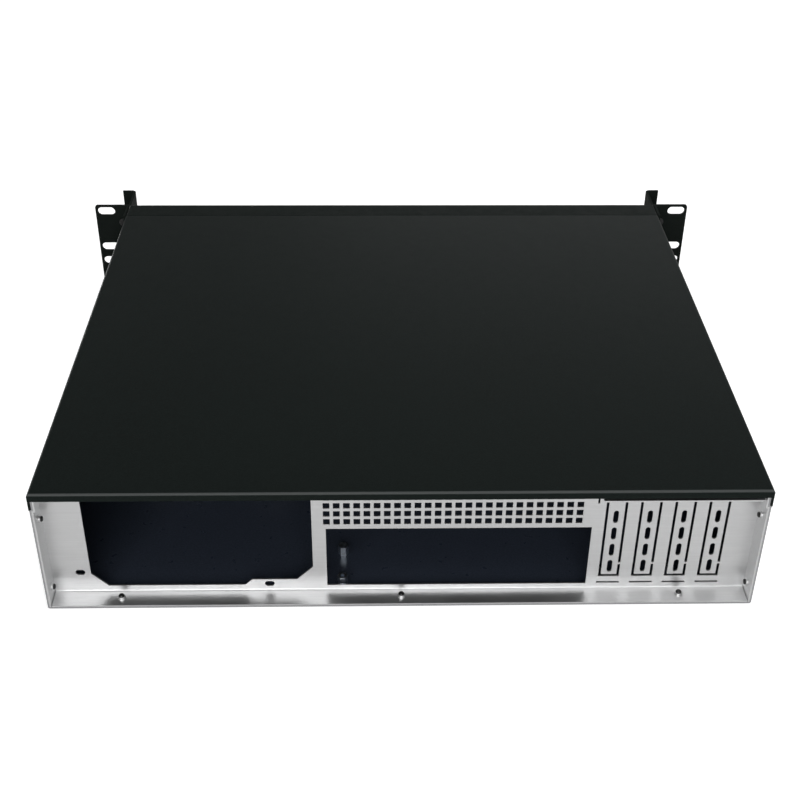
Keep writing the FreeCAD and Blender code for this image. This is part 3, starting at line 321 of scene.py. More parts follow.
@dataclass(frozen=True)
class PowderCoat(Finish):
    """Fine sanded powder coat, with grain, slightly uneven gloss, and bands of painted highlight.

    Attributes:
        deep: Colour between the grains.
        pale: Colour of the grains.
        gloss: Lowest and highest roughness.
        grain: Grains per metre.
        grain_depth: Depth of the grain in metres.
        grain_strength: Strength of the grain's relief.
        grain_range: Part of the grain's noise over which the colour changes.
        specular: Level of the mirrored light.
        sheen: Tint of the mirrored light.
        outer: Colour of the faces that look outward, where it differs.
        outer_share: Share of that colour.
        outer_range: Distances in metres over which that colour takes over.
        cloud: Pale patches per metre.
        cloud_share: Share of the pale colour in a patch.
        uneven: Patches of other gloss per metre.
        wave: Waves of the sheet per metre.
        wave_relief: Relief of those waves.
        painted_highlights: Bands of painted highlight along bends and cut edges.
    """

    deep: Colour = (0.0016, 0.003, 0.0026)
    pale: Colour = (0.0046, 0.008, 0.0072)
    gloss: Span = (0.38, 0.42)
    grain: float = 1300.0
    grain_depth: float = 0.00006
    grain_strength: float = 0.5
    grain_range: Span = (0.35, 0.65)
    specular: float = 0.12
    sheen: Colour = (0.86, 1.0, 0.95)
    outer: Colour | None = None
    outer_share: float = 0.92
    outer_range: Span = (0.05, 0.12)
    cloud: float = 9.0
    cloud_share: float = 0.25
    uneven: float = 140.0
    wave: float = 34.0
    wave_relief: Relief = (0.035, 0.0004)
    painted_highlights: tuple[PaintedHighlight, ...] = ()

    def make(self) -> bpy.types.Material:
        """Makes the coat: speckled colour, uneven gloss and a fine grain over a soft wave.

        Returns:
            The material.
        """
        graph = Graph(self.name)
        speckle = graph.noise(self.grain, detail=2.0)
        cloud = graph.noise(self.cloud)
        base = graph.mix(graph.span(speckle, 0.0, 1.0, *self.grain_range), self.deep, self.pale)
        base = graph.tint(base, graph.span(cloud, 0.0, self.cloud_share), self.pale)
        if self.outer:
            outside = graph.span(graph.outward(), 0.0, self.outer_share, *self.outer_range)
            base = graph.tint(base, outside, self.outer)
        # Painted highlights: paler bands along bends and cut edges, for the light that they catch.
        for highlight in self.painted_highlights:
            band = graph.span(graph.along(highlight.across), 0.0, highlight.share, highlight.start * MM, highlight.end * MM)
            base = graph.tint(base, band, highlight.colour)
        graph.colour(base)
        graph.roughness(graph.span(graph.noise(self.uneven, detail=4.0), *self.gloss))
        graph.relief((graph.noise(self.wave, detail=2.0), self.wave_relief),
                     (speckle, (self.grain_strength, self.grain_depth)))
        graph.set(Specular_IOR_Level=self.specular, Specular_Tint=(*self.sheen, 1.0))
        return graph.material


@dataclass(frozen=True)
class RolledSheet(Finish):
    """Zinc-coated sheet: faint crystals, rolling lines, and smudges from handling.

    Attributes:
        deep: Colour of the lines, crystals and smudges.
        pale: Colour between them.
        gloss: Lowest and highest roughness.
        along: Direction in which the sheet was rolled.
        lines: Rolling lines per metre.
        line_shares: Least and greatest share of the pale colour.
        line_relief: Relief of the lines.
        crystals: Crystals per metre.
        crystal_share: Greatest share of the deep colour in a crystal.
        smudges: Smudges per metre.
        smudge_fineness: Share of the finer parts of a smudge.
        smudge_share: Share of the deep colour in a smudge.
        smudge_range: Part of the smudges' noise over which they show.
        wave: Waves of the sheet per metre.
        wave_relief: Relief of those waves.
        peel: Grains of the coat per metre.
        peel_relief: Relief of those grains.
    """

    deep: Colour = (0.64, 0.642, 0.645)
    pale: Colour = (0.76, 0.762, 0.765)
    gloss: Span = (0.37, 0.45)
    along: Axis = Axis.ACROSS
    lines: float = 900.0
    line_shares: Span = (0.4, 0.8)
    line_relief: Relief = (0.02, 0.00003)
    crystals: float = 120.0
    crystal_share: float = 0.22
    smudges: float = 22.0
    smudge_fineness: float = 0.7
    smudge_share: float = 0.35
    smudge_range: Span = (0.52, 0.75)
    wave: float = 16.0
    wave_relief: Relief = (0.04, 0.0005)
    peel: float = 420.0
    peel_relief: Relief = (0.05, 0.00005)

    def make(self) -> bpy.types.Material:
        """Makes the sheet's metal.

        Returns:
            The material.
        """
        graph = Graph(self.name)
        lines = graph.noise(self.lines, stretch=self.along.value)
        crystals = graph.cells(self.crystals)
        smudges = graph.noise(self.smudges, detail=4.0, roughness=self.smudge_fineness)
        base = graph.mix(graph.span(lines, *self.line_shares), self.deep, self.pale)
        spots = graph.span(crystals, 0.0, self.crystal_share, 0.0, 1.0)
        base = graph.tint(base, spots, self.deep)
        stains = graph.span(smudges, 0.0, self.smudge_share, *self.smudge_range)
        graph.colour(graph.tint(base, stains, self.deep))
        graph.roughness(graph.span(smudges, *self.gloss))
        graph.relief((lines, self.line_relief),
                     (graph.noise(self.wave, detail=2.0), self.wave_relief),
                     (graph.noise(self.peel), self.peel_relief))
        graph.set(Metallic=1.0)
        return graph.material


@dataclass(frozen=True)
class Plating(Finish):
    """Plated or blackened metal of small parts, with turning marks and slight stains.

    Attributes:
        deep: Colour of the stains.
        pale: Colour between them.
        gloss: Lowest and highest roughness.
        metallic: Share of bare metal.
        stains: Stains per metre.
        turning: Turning marks per metre.
        turning_relief: Relief of those marks.
    """

    deep: Colour
    pale: Colour
    gloss: Span
    metallic: float = 1.0
    stains: float = 420.0
    turning: float = 2600.0
    turning_relief: Relief = (0.1, 0.00002)

    def make(self) -> bpy.types.Material:
        """Makes the plating's metal.

        Returns:
            The material.
        """
        graph = Graph(self.name)
        stains = graph.noise(self.stains, detail=4.0)
        graph.colour(graph.mix(graph.span(stains, 0.0, 1.0), self.deep, self.pale))
        graph.roughness(graph.span(stains, *self.gloss))
        marks = graph.noise(self.turning, detail=2.0, stretch=Axis.ACROSS.value)
        graph.relief((marks, self.turning_relief))
        graph.set(Metallic=self.metallic)
        return graph.material


@dataclass(frozen=True)
class Moulded(Finish):
    """Moulded plastic with a fine spark texture and slight flow marks.

    Attributes:
        deep: Colour between the grains.
        pale: Colour of the grains.
        gloss: Lowest and highest roughness.
        grain: Grains per metre.
        grain_relief: Relief of the grain.
        flow: Flow marks per metre.
        flow_stretch: Scale of those marks along each axis.
        flow_share: Share of the pale colour in a flow mark.
    """

    deep: Colour = (0.01, 0.01, 0.011)
    pale: Colour = (0.022, 0.022, 0.024)
    gloss: Span = (0.38, 0.52)
    grain: float = 1900.0
    grain_relief: Relief = (0.35, 0.00004)
    flow: float = 60.0
    flow_stretch: Place = (1.0, 0.35, 1.0)
    flow_share: float = 0.3

    def make(self) -> bpy.types.Material:
        """Makes the plastic.

        Returns:
            The material.
        """
        graph = Graph(self.name)
        grain = graph.noise(self.grain, detail=2.0)
        flow = graph.noise(self.flow, stretch=self.flow_stretch)
        base = graph.mix(graph.span(grain, 0.0, 1.0), self.deep, self.pale)
        graph.colour(graph.tint(base, graph.span(flow, 0.0, self.flow_share), self.pale))
        graph.roughness(graph.span(flow, *self.gloss))
        graph.relief((grain, self.grain_relief))
        return graph.material


@dataclass(frozen=True)
class Laminate(Finish):
    """Circuit board: green mask over a woven laminate, with raised copper tracks.

    Attributes:
        deep: Colour of the mask over the laminate.
        pale: Colour of the mask over a track.
        gloss: Lowest and highest roughness.
        tracks: Scale of the tracks' pattern.
        track_stretch: Scale of that pattern along each axis.
        track_bend: How far the tracks bend.
        track_bend_scale: Scale of the bends.
        track_range: Part of the pattern over which a track's edge rises.
        track_relief: Relief of the tracks.
        weave: Threads of the laminate per metre.
        weave_share: Share of the pale colour over a thread.
    """

    deep: Colour = (0.006, 0.05, 0.022)
    pale: Colour = (0.014, 0.11, 0.05)
    gloss: Span = (0.22, 0.34)
    tracks: float = 260.0
    track_stretch: Place = (0.3, 1.0, 0.12)
    track_bend: float = 1.4
    track_bend_scale: float = 0.4
    track_range: Span = (0.62, 0.7)
    track_relief: Relief = (0.4, 0.00003)
    weave: float = 1200.0
    weave_share: float = 0.5

    def make(self) -> bpy.types.Material:
        """Makes the board's surface.

        Returns:
            The material.
        """
        graph = Graph(self.name)
        tracks = graph.node("ShaderNodeTexWave", bands_direction="X")
        tracks.inputs["Scale"].default_value = self.tracks
        tracks.inputs["Distortion"].default_value = self.track_bend
        tracks.inputs["Detail Scale"].default_value = self.track_bend_scale
        graph.join(graph.place(self.track_stretch), tracks.inputs["Vector"])
        lines = graph.span(tracks.outputs["Fac"], 0.0, 1.0, *self.track_range)
        weave = graph.noise(self.weave, detail=2.0)
        base = graph.mix(graph.span(weave, 0.0, self.weave_share), self.deep, self.pale)
        graph.colour(graph.tint(base, lines, self.pale))
        graph.roughness(graph.span(weave, *self.gloss))
        graph.relief((lines, self.track_relief))
        return graph.material


@dataclass(frozen=True)
class Lens(Finish):
    """Tinted clear plastic of a light pipe.

    Attributes:
        deep: Darker colour of the plastic.
        pale: Paler colour of the plastic.
        gloss: Lowest and highest roughness.
        cloud: Patches of the darker colour per metre.
        ripple: Ripples of the surface per metre.
        ripple_relief: Relief of those ripples.
        clear: Share of the light that passes through.
        bending: Refractive index.
    """

    deep: Colour
    pale: Colour
    gloss: Span = (0.12, 0.2)
    cloud: float = 800.0
    ripple: float = 1600.0
    ripple_relief: Relief = (0.06, 0.00002)
    clear: float = 0.35
    bending: float = 1.49

    def make(self) -> bpy.types.Material:
        """Makes the tinted plastic.

        Returns:
            The material.
        """
        graph = Graph(self.name)
        cloud = graph.noise(self.cloud, detail=2.0)
        graph.colour(graph.mix(graph.span(cloud, 0.0, 1.0), self.deep, self.pale))
        graph.roughness(graph.span(cloud, *self.gloss))
        graph.relief((graph.noise(self.ripple, detail=1.0), self.ripple_relief))
        graph.set(Transmission_Weight=self.clear, IOR=self.bending)
        return graph.material


# Painted highlight: a pale line along the cover's rear top bend.
REAR_BEND_HIGHLIGHT = PaintedHighlight((0.0, 0.7071, 0.7071), 210.1, 210.35, (0.07, 0.073, 0.073))
# Painted highlight: a grey line along the tray's rear cut edge, where the black edge catches light.
REAR_END_HIGHLIGHT = PaintedHighlight((0.0, 1.0, 0.0), 209.3, 209.38, (0.34, 0.34, 0.345), 0.95)
COVER_COAT = PowderCoat("cover_coat", "black_powder", painted_highlights=(REAR_BEND_HIGHLIGHT,))
FRONT_COAT = PowderCoat(
    "front_coat", "black_powder", deep=(0.005, 0.0068, 0.0062), pale=(0.0105, 0.0138, 0.0126),
    gloss=(0.42, 0.54), specular=0.05)
TRAY_COAT = PowderCoat(
    "tray_coat", "black_powder", deep=(0.023, 0.029, 0.042), pale=(0.041, 0.051, 0.074),
    gloss=(0.27, 0.33), grain=900.0, grain_depth=0.00002, specular=0.5,
    sheen=(0.9, 0.95, 1.0), outer=(0.0065, 0.0085, 0.008), painted_highlights=(REAR_END_HIGHLIGHT,))
EAR_COAT = PowderCoat(
    "ear_coat", "black_powder", deep=(0.006, 0.0078, 0.0068), pale=(0.0125, 0.0155, 0.014),
    gloss=(0.55, 0.7), specular=0.03)
PANEL_SHEET = RolledSheet("panel_sheet", "galvanised")
INNER_SHEET = RolledSheet(
    "inner_sheet", "galvanised", deep=(0.46, 0.47, 0.48), pale=(0.66, 0.67, 0.68),
    along=Axis.DEEP)
NICKEL = Plating(
    "nickel", "nickel", deep=(0.78, 0.84, 0.92), pale=(0.88, 0.93, 1.0), gloss=(0.26, 0.36))
ZINC = Plating(
    "zinc", "zinc_screw", deep=(0.52, 0.53, 0.55), pale=(0.74, 0.75, 0.77), gloss=(0.18, 0.34))
BLACK_SCREW = Plating(
    "black_screw", "black_powder", deep=(0.006, 0.006, 0.006), pale=(0.016, 0.016, 0.016),
    gloss=(0.26, 0.42), metallic=0.15)
BRASS = Plating("brass", "brass", deep=(0.5, 0.36, 0.16), pale=(0.78, 0.6, 0.3), gloss=(0.2, 0.34))
BLACK_PLASTIC = Moulded("black_plastic", "black_plastic")
GREY_PLASTIC = Moulded(
    "grey_plastic", "grey_plastic", deep=(0.12, 0.12, 0.125), pale=(0.3, 0.3, 0.31))
BOARD = Laminate("circuit_board", "circuit_board")
GREEN_LENS = Lens("green_lens", "green_lens", deep=(0.1, 0.5, 0.2), pale=(0.2, 0.75, 0.35))
AMBER_LENS = Lens("amber_lens", "amber_lens", deep=(0.6, 0.28, 0.05), pale=(0.85, 0.5, 0.12))


class Workshop:
    """Keeps the made materials and puts finished pieces into the scene."""

    def __init__(self) -> None:
        """Starts with no materials made."""
        self.made: dict[str, bpy.types.Material] = {}

    def material(self, finish: Finish) -> bpy.types.Material:
        """Gives a finish's material, made once.

        Args:
            finish: The finish.

        Returns:
            Its material.
        """
        if finish.name not in self.made:
            self.made[finish.name] = finish.make()
        return self.made[finish.name]

    def dress(self, finish: Finish, *nodes: str) -> None:
        """Gives CAD pieces their finish.

        Args:
            finish: The finish.
            *nodes: Names of the pieces.
        """
        for name in nodes:
            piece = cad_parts[name]
            for slot in piece.material_slots:
                slot.material = self.material(finish)
            log.info("dressed %s with %s", name, finish.name)

    def piece(self, name: str, shape: bmesh.types.BMesh, finish: Finish, body: str) -> None:
        """Puts a modelled piece into the scene.

        Args:
            name: Name of the piece.
            shape: Its shape in place, which is used up.
            finish: Its finish.
            body: The body with which it moves.
        """
        mesh = bpy.data.meshes.new(name)
        settle(shape)
        shape.to_mesh(mesh)
        shape.free()
        mesh.materials.append(self.material(finish))
        mesh.shade_smooth()
        mesh.set_sharp_from_angle(angle=CREASE)
        made = bpy.data.objects.new(name, mesh)
        bpy.context.scene.collection.objects.link(made)
        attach(made, body)
        log.info("made %s with %d faces", name, len(mesh.polygons))


# ---- Shapes ----
def turned(profile: list[Span], segments: int = 24) -> bmesh.types.BMesh:
    """A closed turned shape.

    Args:
        profile: Radius and height of the profile's corners in mm, as a closed loop that
            runs anticlockwise, or from axis to axis.
        segments: Segments of the full turn.

    Returns:
        The shape, upright round the origin.
    """
    shape = bmesh.new()
    corners = [shape.verts.new((radius * MM, 0.0, height * MM)) for radius, height in profile]
    edges = [shape.edges.new(pair) for pair in zip(corners, corners[1:])]
    if profile[0][0] > 0.0:
        edges.append(shape.edges.new((corners[-1], corners[0])))
    bmesh.ops.spin(shape, geom=corners + edges, cent=(0.0, 0.0, 0.0), axis=UPRIGHT,
                   angle=math.tau, steps=segments, use_merge=True)
    bmesh.ops.remove_doubles(shape, verts=shape.verts, dist=WELD)
    bmesh.ops.recalc_face_normals(shape, faces=shape.faces)
    return shape


def copies(shape: bmesh.types.BMesh, places: list[Place], facing: Facing) -> bmesh.types.BMesh:
    """Repeats a shape at several places.

    Args:
        shape: The upright shape, which is used up.
        places: Places in mm.
        facing: Direction in which its top points.

    Returns:
        All the copies as one shape.
    """
    pattern = bpy.data.meshes.new("pattern")
    shape.to_mesh(pattern)
    shape.free()
    result = bmesh.new()
    for place in places:
        moved = pattern.copy()
        moved.transform(Matrix.Translation(Vector(place) * MM) @ facing.turn())
        result.from_mesh(moved)
        bpy.data.meshes.remove(moved)
    bpy.data.meshes.remove(pattern)
    return result


def merged(*shapes: bmesh.types.BMesh) -> bmesh.types.BMesh:
    """Puts several shapes into one.

    Args:
        *shapes: The shapes, which are used up.

    Returns:
        The one shape.
    """
    result = bmesh.new()
    for shape in shapes:
        mesh = bpy.data.meshes.new("part")
        shape.to_mesh(mesh)
        shape.free()
        result.from_mesh(mesh)
        bpy.data.meshes.remove(mesh)
    return result


def settle(shape: bmesh.types.BMesh) -> None:
    """Puts a shape's corners, then its faces, into an order that their places alone decide.

    The mesh operators leave them in an order that changes from run to run.

    Args:
        shape: The shape.
    """
    corners = sorted(shape.verts, key=lambda vert: tuple(vert.co))
    ranks = {vert: rank for rank, vert in enumerate(corners)}
    faces = sorted(shape.faces, key=lambda face: sorted(ranks[vert] for vert in face.verts))
    ranks.update((face, rank) for rank, face in enumerate(faces))
    shape.verts.sort(key=ranks.get)
    shape.faces.sort(key=ranks.get)


def top_face(shape: bmesh.types.BMesh) -> bmesh.types.BMFace:
    """Finds the highest face of a shape, and the largest one of those at that height.

    Args:
        shape: The shape.

    Returns:
        The face.
    """
    def rank(face: bmesh.types.BMFace) -> float:
        """Height of a face, with its area as the tie-break."""
        return face.calc_center_median().z + face.calc_area() * AREA_WEIGHT

    return max(shape.faces, key=rank)


@dataclass(frozen=True)
class Screw:
    """Head of a cross-recess screw, seen from outside.

    Attributes:
        radius: Radius of the head in mm.
        height: Height of the head in mm.
        edge: Width of its rounded edge in mm.
        recess: Depth of the cross in mm.
        arm: Reach of the cross as a share of the flat top's radius.
        sides: Sides of the head, a multiple of four.
        edge_steps: Facets across the rounded edge.
    """

    radius: float = 2.8
    height: float = 1.8
    edge: float = 0.5
    recess: float = 0.9
    arm: float = 0.62
    sides: int = 16
    edge_steps: int = 3

    def shape(self) -> bmesh.types.BMesh:
        """Models the head: a disc with a rounded edge, whose top has a cross pressed in.

        Returns:
            The head, upright on the origin.
        """
        shape = bmesh.new()
        radius = self.radius * MM
        bmesh.ops.create_cone(shape, cap_ends=True, cap_tris=False, segments=self.sides,
                              radius1=radius, radius2=radius, depth=self.height * MM)
        bmesh.ops.rotate(shape, verts=shape.verts, cent=(0, 0, 0),
                         matrix=Matrix.Rotation(math.pi / self.sides, 3, "Z"))
        bmesh.ops.translate(shape, verts=shape.verts, vec=(0, 0, self.height / 2 * MM))
        bmesh.ops.bevel(shape, geom=list(top_face(shape).edges), offset=self.edge * MM,
                        offset_type="OFFSET", segments=self.edge_steps, profile=0.5,
                        affect="EDGES", material=-1)
        top = top_face(shape)
        reach = min(edge.calc_length() for edge in top.edges) * self.sides / math.tau
        bmesh.ops.inset_region(shape, faces=[top], thickness=reach * (1 - self.arm),
                               use_even_offset=True)
        fan = bmesh.ops.poke(shape, faces=[top_face(shape)])["faces"]
        arms = [face for face in fan if self.is_arm(face.calc_center_median())]
        for face in bmesh.ops.extrude_discrete_faces(shape, faces=arms)["faces"]:
            bmesh.ops.translate(shape, verts=face.verts, vec=(0, 0, -self.recess * MM))
        bmesh.ops.recalc_face_normals(shape, faces=shape.faces)
        return shape

    def is_arm(self, middle: Vector) -> bool:
        """Tells whether a sector of the top lies in one of the cross's four arms.

        Args:
            middle: Middle of the sector.

        Returns:
            True in an arm.
        """
        quarter = math.pi / 2
        angle = math.atan2(middle.y, middle.x) % quarter
        return min(angle, quarter - angle) < math.pi / self.sides / 2


COVER_SCREW = Screw(radius=3.0, height=0.9, edge=0.3, recess=0.55)
EAR_SCREW = Screw(radius=2.8, height=1.3, edge=0.45, recess=0.8)
HANDLE_SCREW = Screw(radius=3.2, height=0.5, edge=0.2, recess=0.4)
PANEL_SCREW = Screw(radius=2.8, height=1.5)
FOOT_SCREW = Screw(radius=2.6, height=1.6)
FAN_SCREW = Screw(radius=3.3, height=1.7, edge=0.6)


@dataclass(frozen=True)
class Collar:
    """Drawn and threaded ring in a sheet, with the tip of a screw inside.

    Attributes:
        outer: Outer radius in mm.
        bore: Inner radius in mm.
        height: Height of the ring in mm.
        rim: Width of the slopes at its foot and top in mm.
        tip: Height of the screw's tip in mm.
        tip_corners: Corners of the tip's end, as shares of the bore and of the tip.
        tip_segments: Segments round the tip.
    """

    outer: float = 2.3
    bore: float = 1.75
    height: float = 1.5
    rim: float = 0.3
    tip: float = 2.8
    tip_corners: tuple[Span, ...] = ((1.0, 0.72), (0.75, 0.93), (0.35, 1.0))
    tip_segments: int = 20

    def ring(self) -> bmesh.types.BMesh:
        """The ring, upright on the origin, with sloped edges."""
        return turned([(self.bore, 0.0), (self.outer + self.rim, 0.0), (self.outer, self.rim),
                       (self.outer, self.height - self.rim), (self.outer - self.rim, self.height),
                       (self.bore, self.height)])

    def screw_tip(self) -> bmesh.types.BMesh:
        """The blunt end of a screw that fills the ring's bore."""
        end = [(self.bore * across, self.tip * level) for across, level in self.tip_corners]
        return turned([(0.0, 0.0), (self.bore, 0.0), *end, (0.0, self.tip)], self.tip_segments)


# ---- Sub-assemblies, with places and lengths in mm ----
@dataclass
class Shell:
    """Tray, cover, front panel, ears and handles, with the screws that hold them.

    Attributes:
        shop: The workshop.
        cover_rows: Depths of the cover's screws.
        cover_level: Height of the cover's screws.
        cover_side: Distance of their seats from the middle.
        ear_row: Depth of the ears' screws.
        ear_side: Distance of their seats from the middle.
        ear_levels: Heights of the ears' screws.
        ear_back: Rear face of the ears, where the handles' screws sit.
        handle_side: Distance of those screws from the middle.
        handle_levels: Heights of those screws.
        foot_row: Depth of the front panel's screws.
        foot_places: Places of those screws across the case.
        foot_top: Level of their seats.
    """

    shop: Workshop
    cover_rows: tuple[float, ...] = (-128.6, 30.4, 189.4)
    cover_level: float = 81.8
    cover_side: float = 213.55
    ear_row: float = -159.1
    ear_side: float = 215.5
    ear_levels: tuple[float, ...] = (20.0, 60.0)
    ear_back: float = -168.6
    handle_side: float = 220.0
    handle_levels: tuple[float, ...] = (14.5, 72.8)
    foot_row: float = -162.6
    foot_places: tuple[float, ...] = (-170.0, 0.0)
    foot_top: float = 2.0

    def build(self) -> None:
        """Dresses the sheets and makes their screws."""
        self.shop.dress(COVER_COAT, "top_cover")
        self.shop.dress(FRONT_COAT, "front_panel")
        self.shop.dress(TRAY_COAT, "base_tray")
        self.shop.dress(EAR_COAT, "left_ear", "right_ear", "left_handle", "right_handle")
        self.side_screws("cover_screws", COVER_SCREW, self.cover_side,
                         [(row, self.cover_level) for row in self.cover_rows])
        self.side_screws("ear_screws", EAR_SCREW, self.ear_side,
                         [(self.ear_row, level) for level in self.ear_levels])
        backs = [(self.handle_side * side, self.ear_back, level)
                 for side in (-1, 1) for level in self.handle_levels]
        heads = copies(HANDLE_SCREW.shape(), backs, Facing.REAR)
        self.shop.piece("handle_screws", heads, BLACK_SCREW, "case")
        feet = [(across, self.foot_row, self.foot_top) for across in self.foot_places]
        heads = copies(PANEL_SCREW.shape(), feet, Facing.UP)
        self.shop.piece("front_panel_screws", heads, BLACK_SCREW, "case")

    def side_screws(self, name: str, screw: Screw, side: float, rows: list[Span]) -> None:
        """Puts screw heads on both sides of the case.

        Args:
            name: Name of the piece.
            screw: The screw.
            side: Distance of the heads' seats from the middle.
            rows: Depth and height of each screw.
        """
        right = copies(screw.shape(), [(side, y, z) for y, z in rows], Facing.RIGHT)
        left = copies(screw.shape(), [(-side, y, z) for y, z in rows], Facing.LEFT)
        self.shop.piece(name, merged(right, left), BLACK_SCREW, "case")


@dataclass
class RearPanel:
    """Folded rear panel with the threaded collars of its flanges.

    Attributes:
        shop: The workshop.
        row: Depth of the collars.
        low_sides: Places of the lower collars across the case.
        low_top: Top face of the lower flange.
        side_inside: Distance of the side flanges' inner faces from the middle.
        side_levels: Heights of the side collars.
        collar: The collar.
    """

    shop: Workshop
    row: float = 202.5
    low_sides: tuple[float, ...] = (-170.0, 0.0, 170.0)
    low_top: float = 2.0
    side_inside: float = 211.5
    side_levels: tuple[float, ...] = (11.5, 64.0)
    collar: Collar = Collar()

    def build(self) -> None:
        """Dresses the panel and makes its collars."""
        self.shop.dress(PANEL_SHEET, "rear_panel")
        spots = [
            ([(x, self.row, self.low_top) for x in self.low_sides], Facing.UP),
            ([(self.side_inside, self.row, z) for z in self.side_levels], Facing.LEFT),
            ([(-self.side_inside, self.row, z) for z in self.side_levels], Facing.RIGHT),
        ]
        rings = merged(*[copies(self.collar.ring(), *spot) for spot in spots])
        tips = merged(*[copies(self.collar.screw_tip(), *spot) for spot in spots])
        self.shop.piece("panel_collars", rings, PANEL_SHEET, "case")
        self.shop.piece("panel_screw_tips", tips, BLACK_SCREW, "case")


@dataclass
class Inside:
    """Standoffs, supply stop, cross brace and drive cage, with the screws of their feet.

    Attributes:
        shop: The workshop.
        foot_sides: Places of the drive cage's screws across the case.
        foot_rows: Depths of those screws.
        foot_top: Level of all the screws' seats.
        stop_sides: Places of the supply stop's screws across the case.
        stop_row: Depth of those screws.
    """

    shop: Workshop
    foot_sides: tuple[float, ...] = (61.7, 177.3)
    foot_rows: tuple[float, ...] = (-139.6, -43.6)
    foot_top: float = 2.2
    stop_sides: tuple[float, ...] = (90.4, 160.4)
    stop_row: float = 45.8

    def build(self) -> None:
        """Dresses the pieces and makes the screws of their feet."""
        self.shop.dress(NICKEL, "motherboard_standoffs")
        self.shop.dress(INNER_SHEET, "psu_bracket", "cross_brace", "drive_cage")
        places = [(x, y, self.foot_top) for x in self.foot_sides for y in self.foot_rows]
        places += [(x, self.stop_row, self.foot_top) for x in self.stop_sides]
        heads = copies(FOOT_SCREW.shape(), places, Facing.UP)
        self.shop.piece("foot_screws", heads, ZINC, "case")


@dataclass
class Fan:
    """Axial fan with a capped hub, and the screws that hold it to the front panel.

    Attributes:
        shop: The workshop.
        side: Side of the case, as in the pieces' names.
        body: The body of the rotor.
        screw_reach: Distance of the screws from the fan's middle, across and upwards.
        panel_sheet: Sheet of the front panel, through which the screws pass.
        cap_radius: Radius of the hub's cap.
        cap_steps: Corners of the cap, as distances from its rim inwards and forwards.
        cap_top: Height of the cap's middle.
        cap_segments: Segments round the cap.
    """

    shop: Workshop
    side: str
    body: str
    screw_reach: float = 35.75
    panel_sheet: float = 1.0
    cap_radius: float = 16.2
    cap_steps: tuple[Span, ...] = (
        (0.0, 0.0), (0.0, 0.25), (0.8, 0.7), (3.0, 0.75), (3.6, 0.45), (4.4, 0.45), (5.0, 0.75))
    cap_top: float = 0.95
    cap_segments: int = 40

    def build(self) -> None:
        """Dresses the fan and makes its hub cap and screws."""
        frame_node = f"fan_{self.side}"
        rotor_node = f"fan_{self.side}_rotor"
        self.shop.dress(BLACK_PLASTIC, frame_node, rotor_node)
        low, high = (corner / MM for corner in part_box(frame_node))
        centre = (low + high) / 2
        hub_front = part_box(rotor_node)[0].y / MM
        panel_front = low.y - self.panel_sheet
        cap = copies(self.cap(), [(centre.x, hub_front, centre.z)], Facing.FRONT)
        self.shop.piece(f"{rotor_node}_cap", cap, BLACK_PLASTIC, self.body)
        places = [(centre.x + self.screw_reach * i, panel_front, centre.z + self.screw_reach * j)
                  for i in (-1, 1) for j in (-1, 1)]
        heads = copies(FAN_SCREW.shape(), places, Facing.FRONT)
        self.shop.piece(f"{frame_node}_screws", heads, BLACK_SCREW, "case")

    def cap(self) -> bmesh.types.BMesh:
        """Models the hub's cap: a low dome with a groove inside its rim.

        Returns:
            The cap, upright on the origin.
        """
        steps = [(self.cap_radius - inset, level) for inset, level in self.cap_steps]
        cap = turned([*steps, (0.0, self.cap_top)], self.cap_segments)
        bmesh.ops.holes_fill(cap, edges=[edge for edge in cap.edges if edge.is_boundary])
        bmesh.ops.recalc_face_normals(cap, faces=cap.faces)
        return cap


@dataclass
class Controls:
    """Buttons, lamps, data sockets, the board that carries them, and the bay covers."""

    shop: Workshop

    def build(self) -> None:
        """Dresses the controls and the bay covers."""
        self.shop.dress(BLACK_PLASTIC, "power_button", "reset_button", "large_bay_cover",
                        "small_bay_cover")
        self.shop.dress(BOARD, "control_board")
        self.shop.dress(GREY_PLASTIC, "control_switches", "usb_tongues")
        self.shop.dress(ZINC, "usb_sockets")
        self.shop.dress(BRASS, "board_spacers")
        self.shop.dress(GREEN_LENS, "power_lamp")
        self.shop.dress(AMBER_LENS, "drive_lamp")


# ---- Studio, with places and lengths in metres ----
@dataclass(frozen=True)
class SoftBox:
    """A soft studio lamp, aimed at the case.

    Attributes:
        name: Name of the lamp.
        place: Middle of the lamp.
        width: Width of the lamp.
        height: Height of the lamp.
        power: Power in watts.
        aim: Place at which it is aimed.
    """

    name: str
    place: Place
    width: float
    height: float
    power: float
    aim: Place = (0.0, 0.0, 0.05)

    def build(self) -> None:
        """Puts the lamp into the scene."""
        data = bpy.data.lights.new(self.name, "AREA")
        data.shape = "RECTANGLE"
        data.size, data.size_y, data.energy = self.width, self.height, self.power
        ahead = Vector(self.aim) - Vector(self.place)
        lamp = bpy.data.objects.new(self.name, data)
        lamp.location = self.place
        lamp.rotation_euler = ahead.to_track_quat("-Z", "Y").to_euler()
        bpy.context.scene.collection.objects.link(lamp)


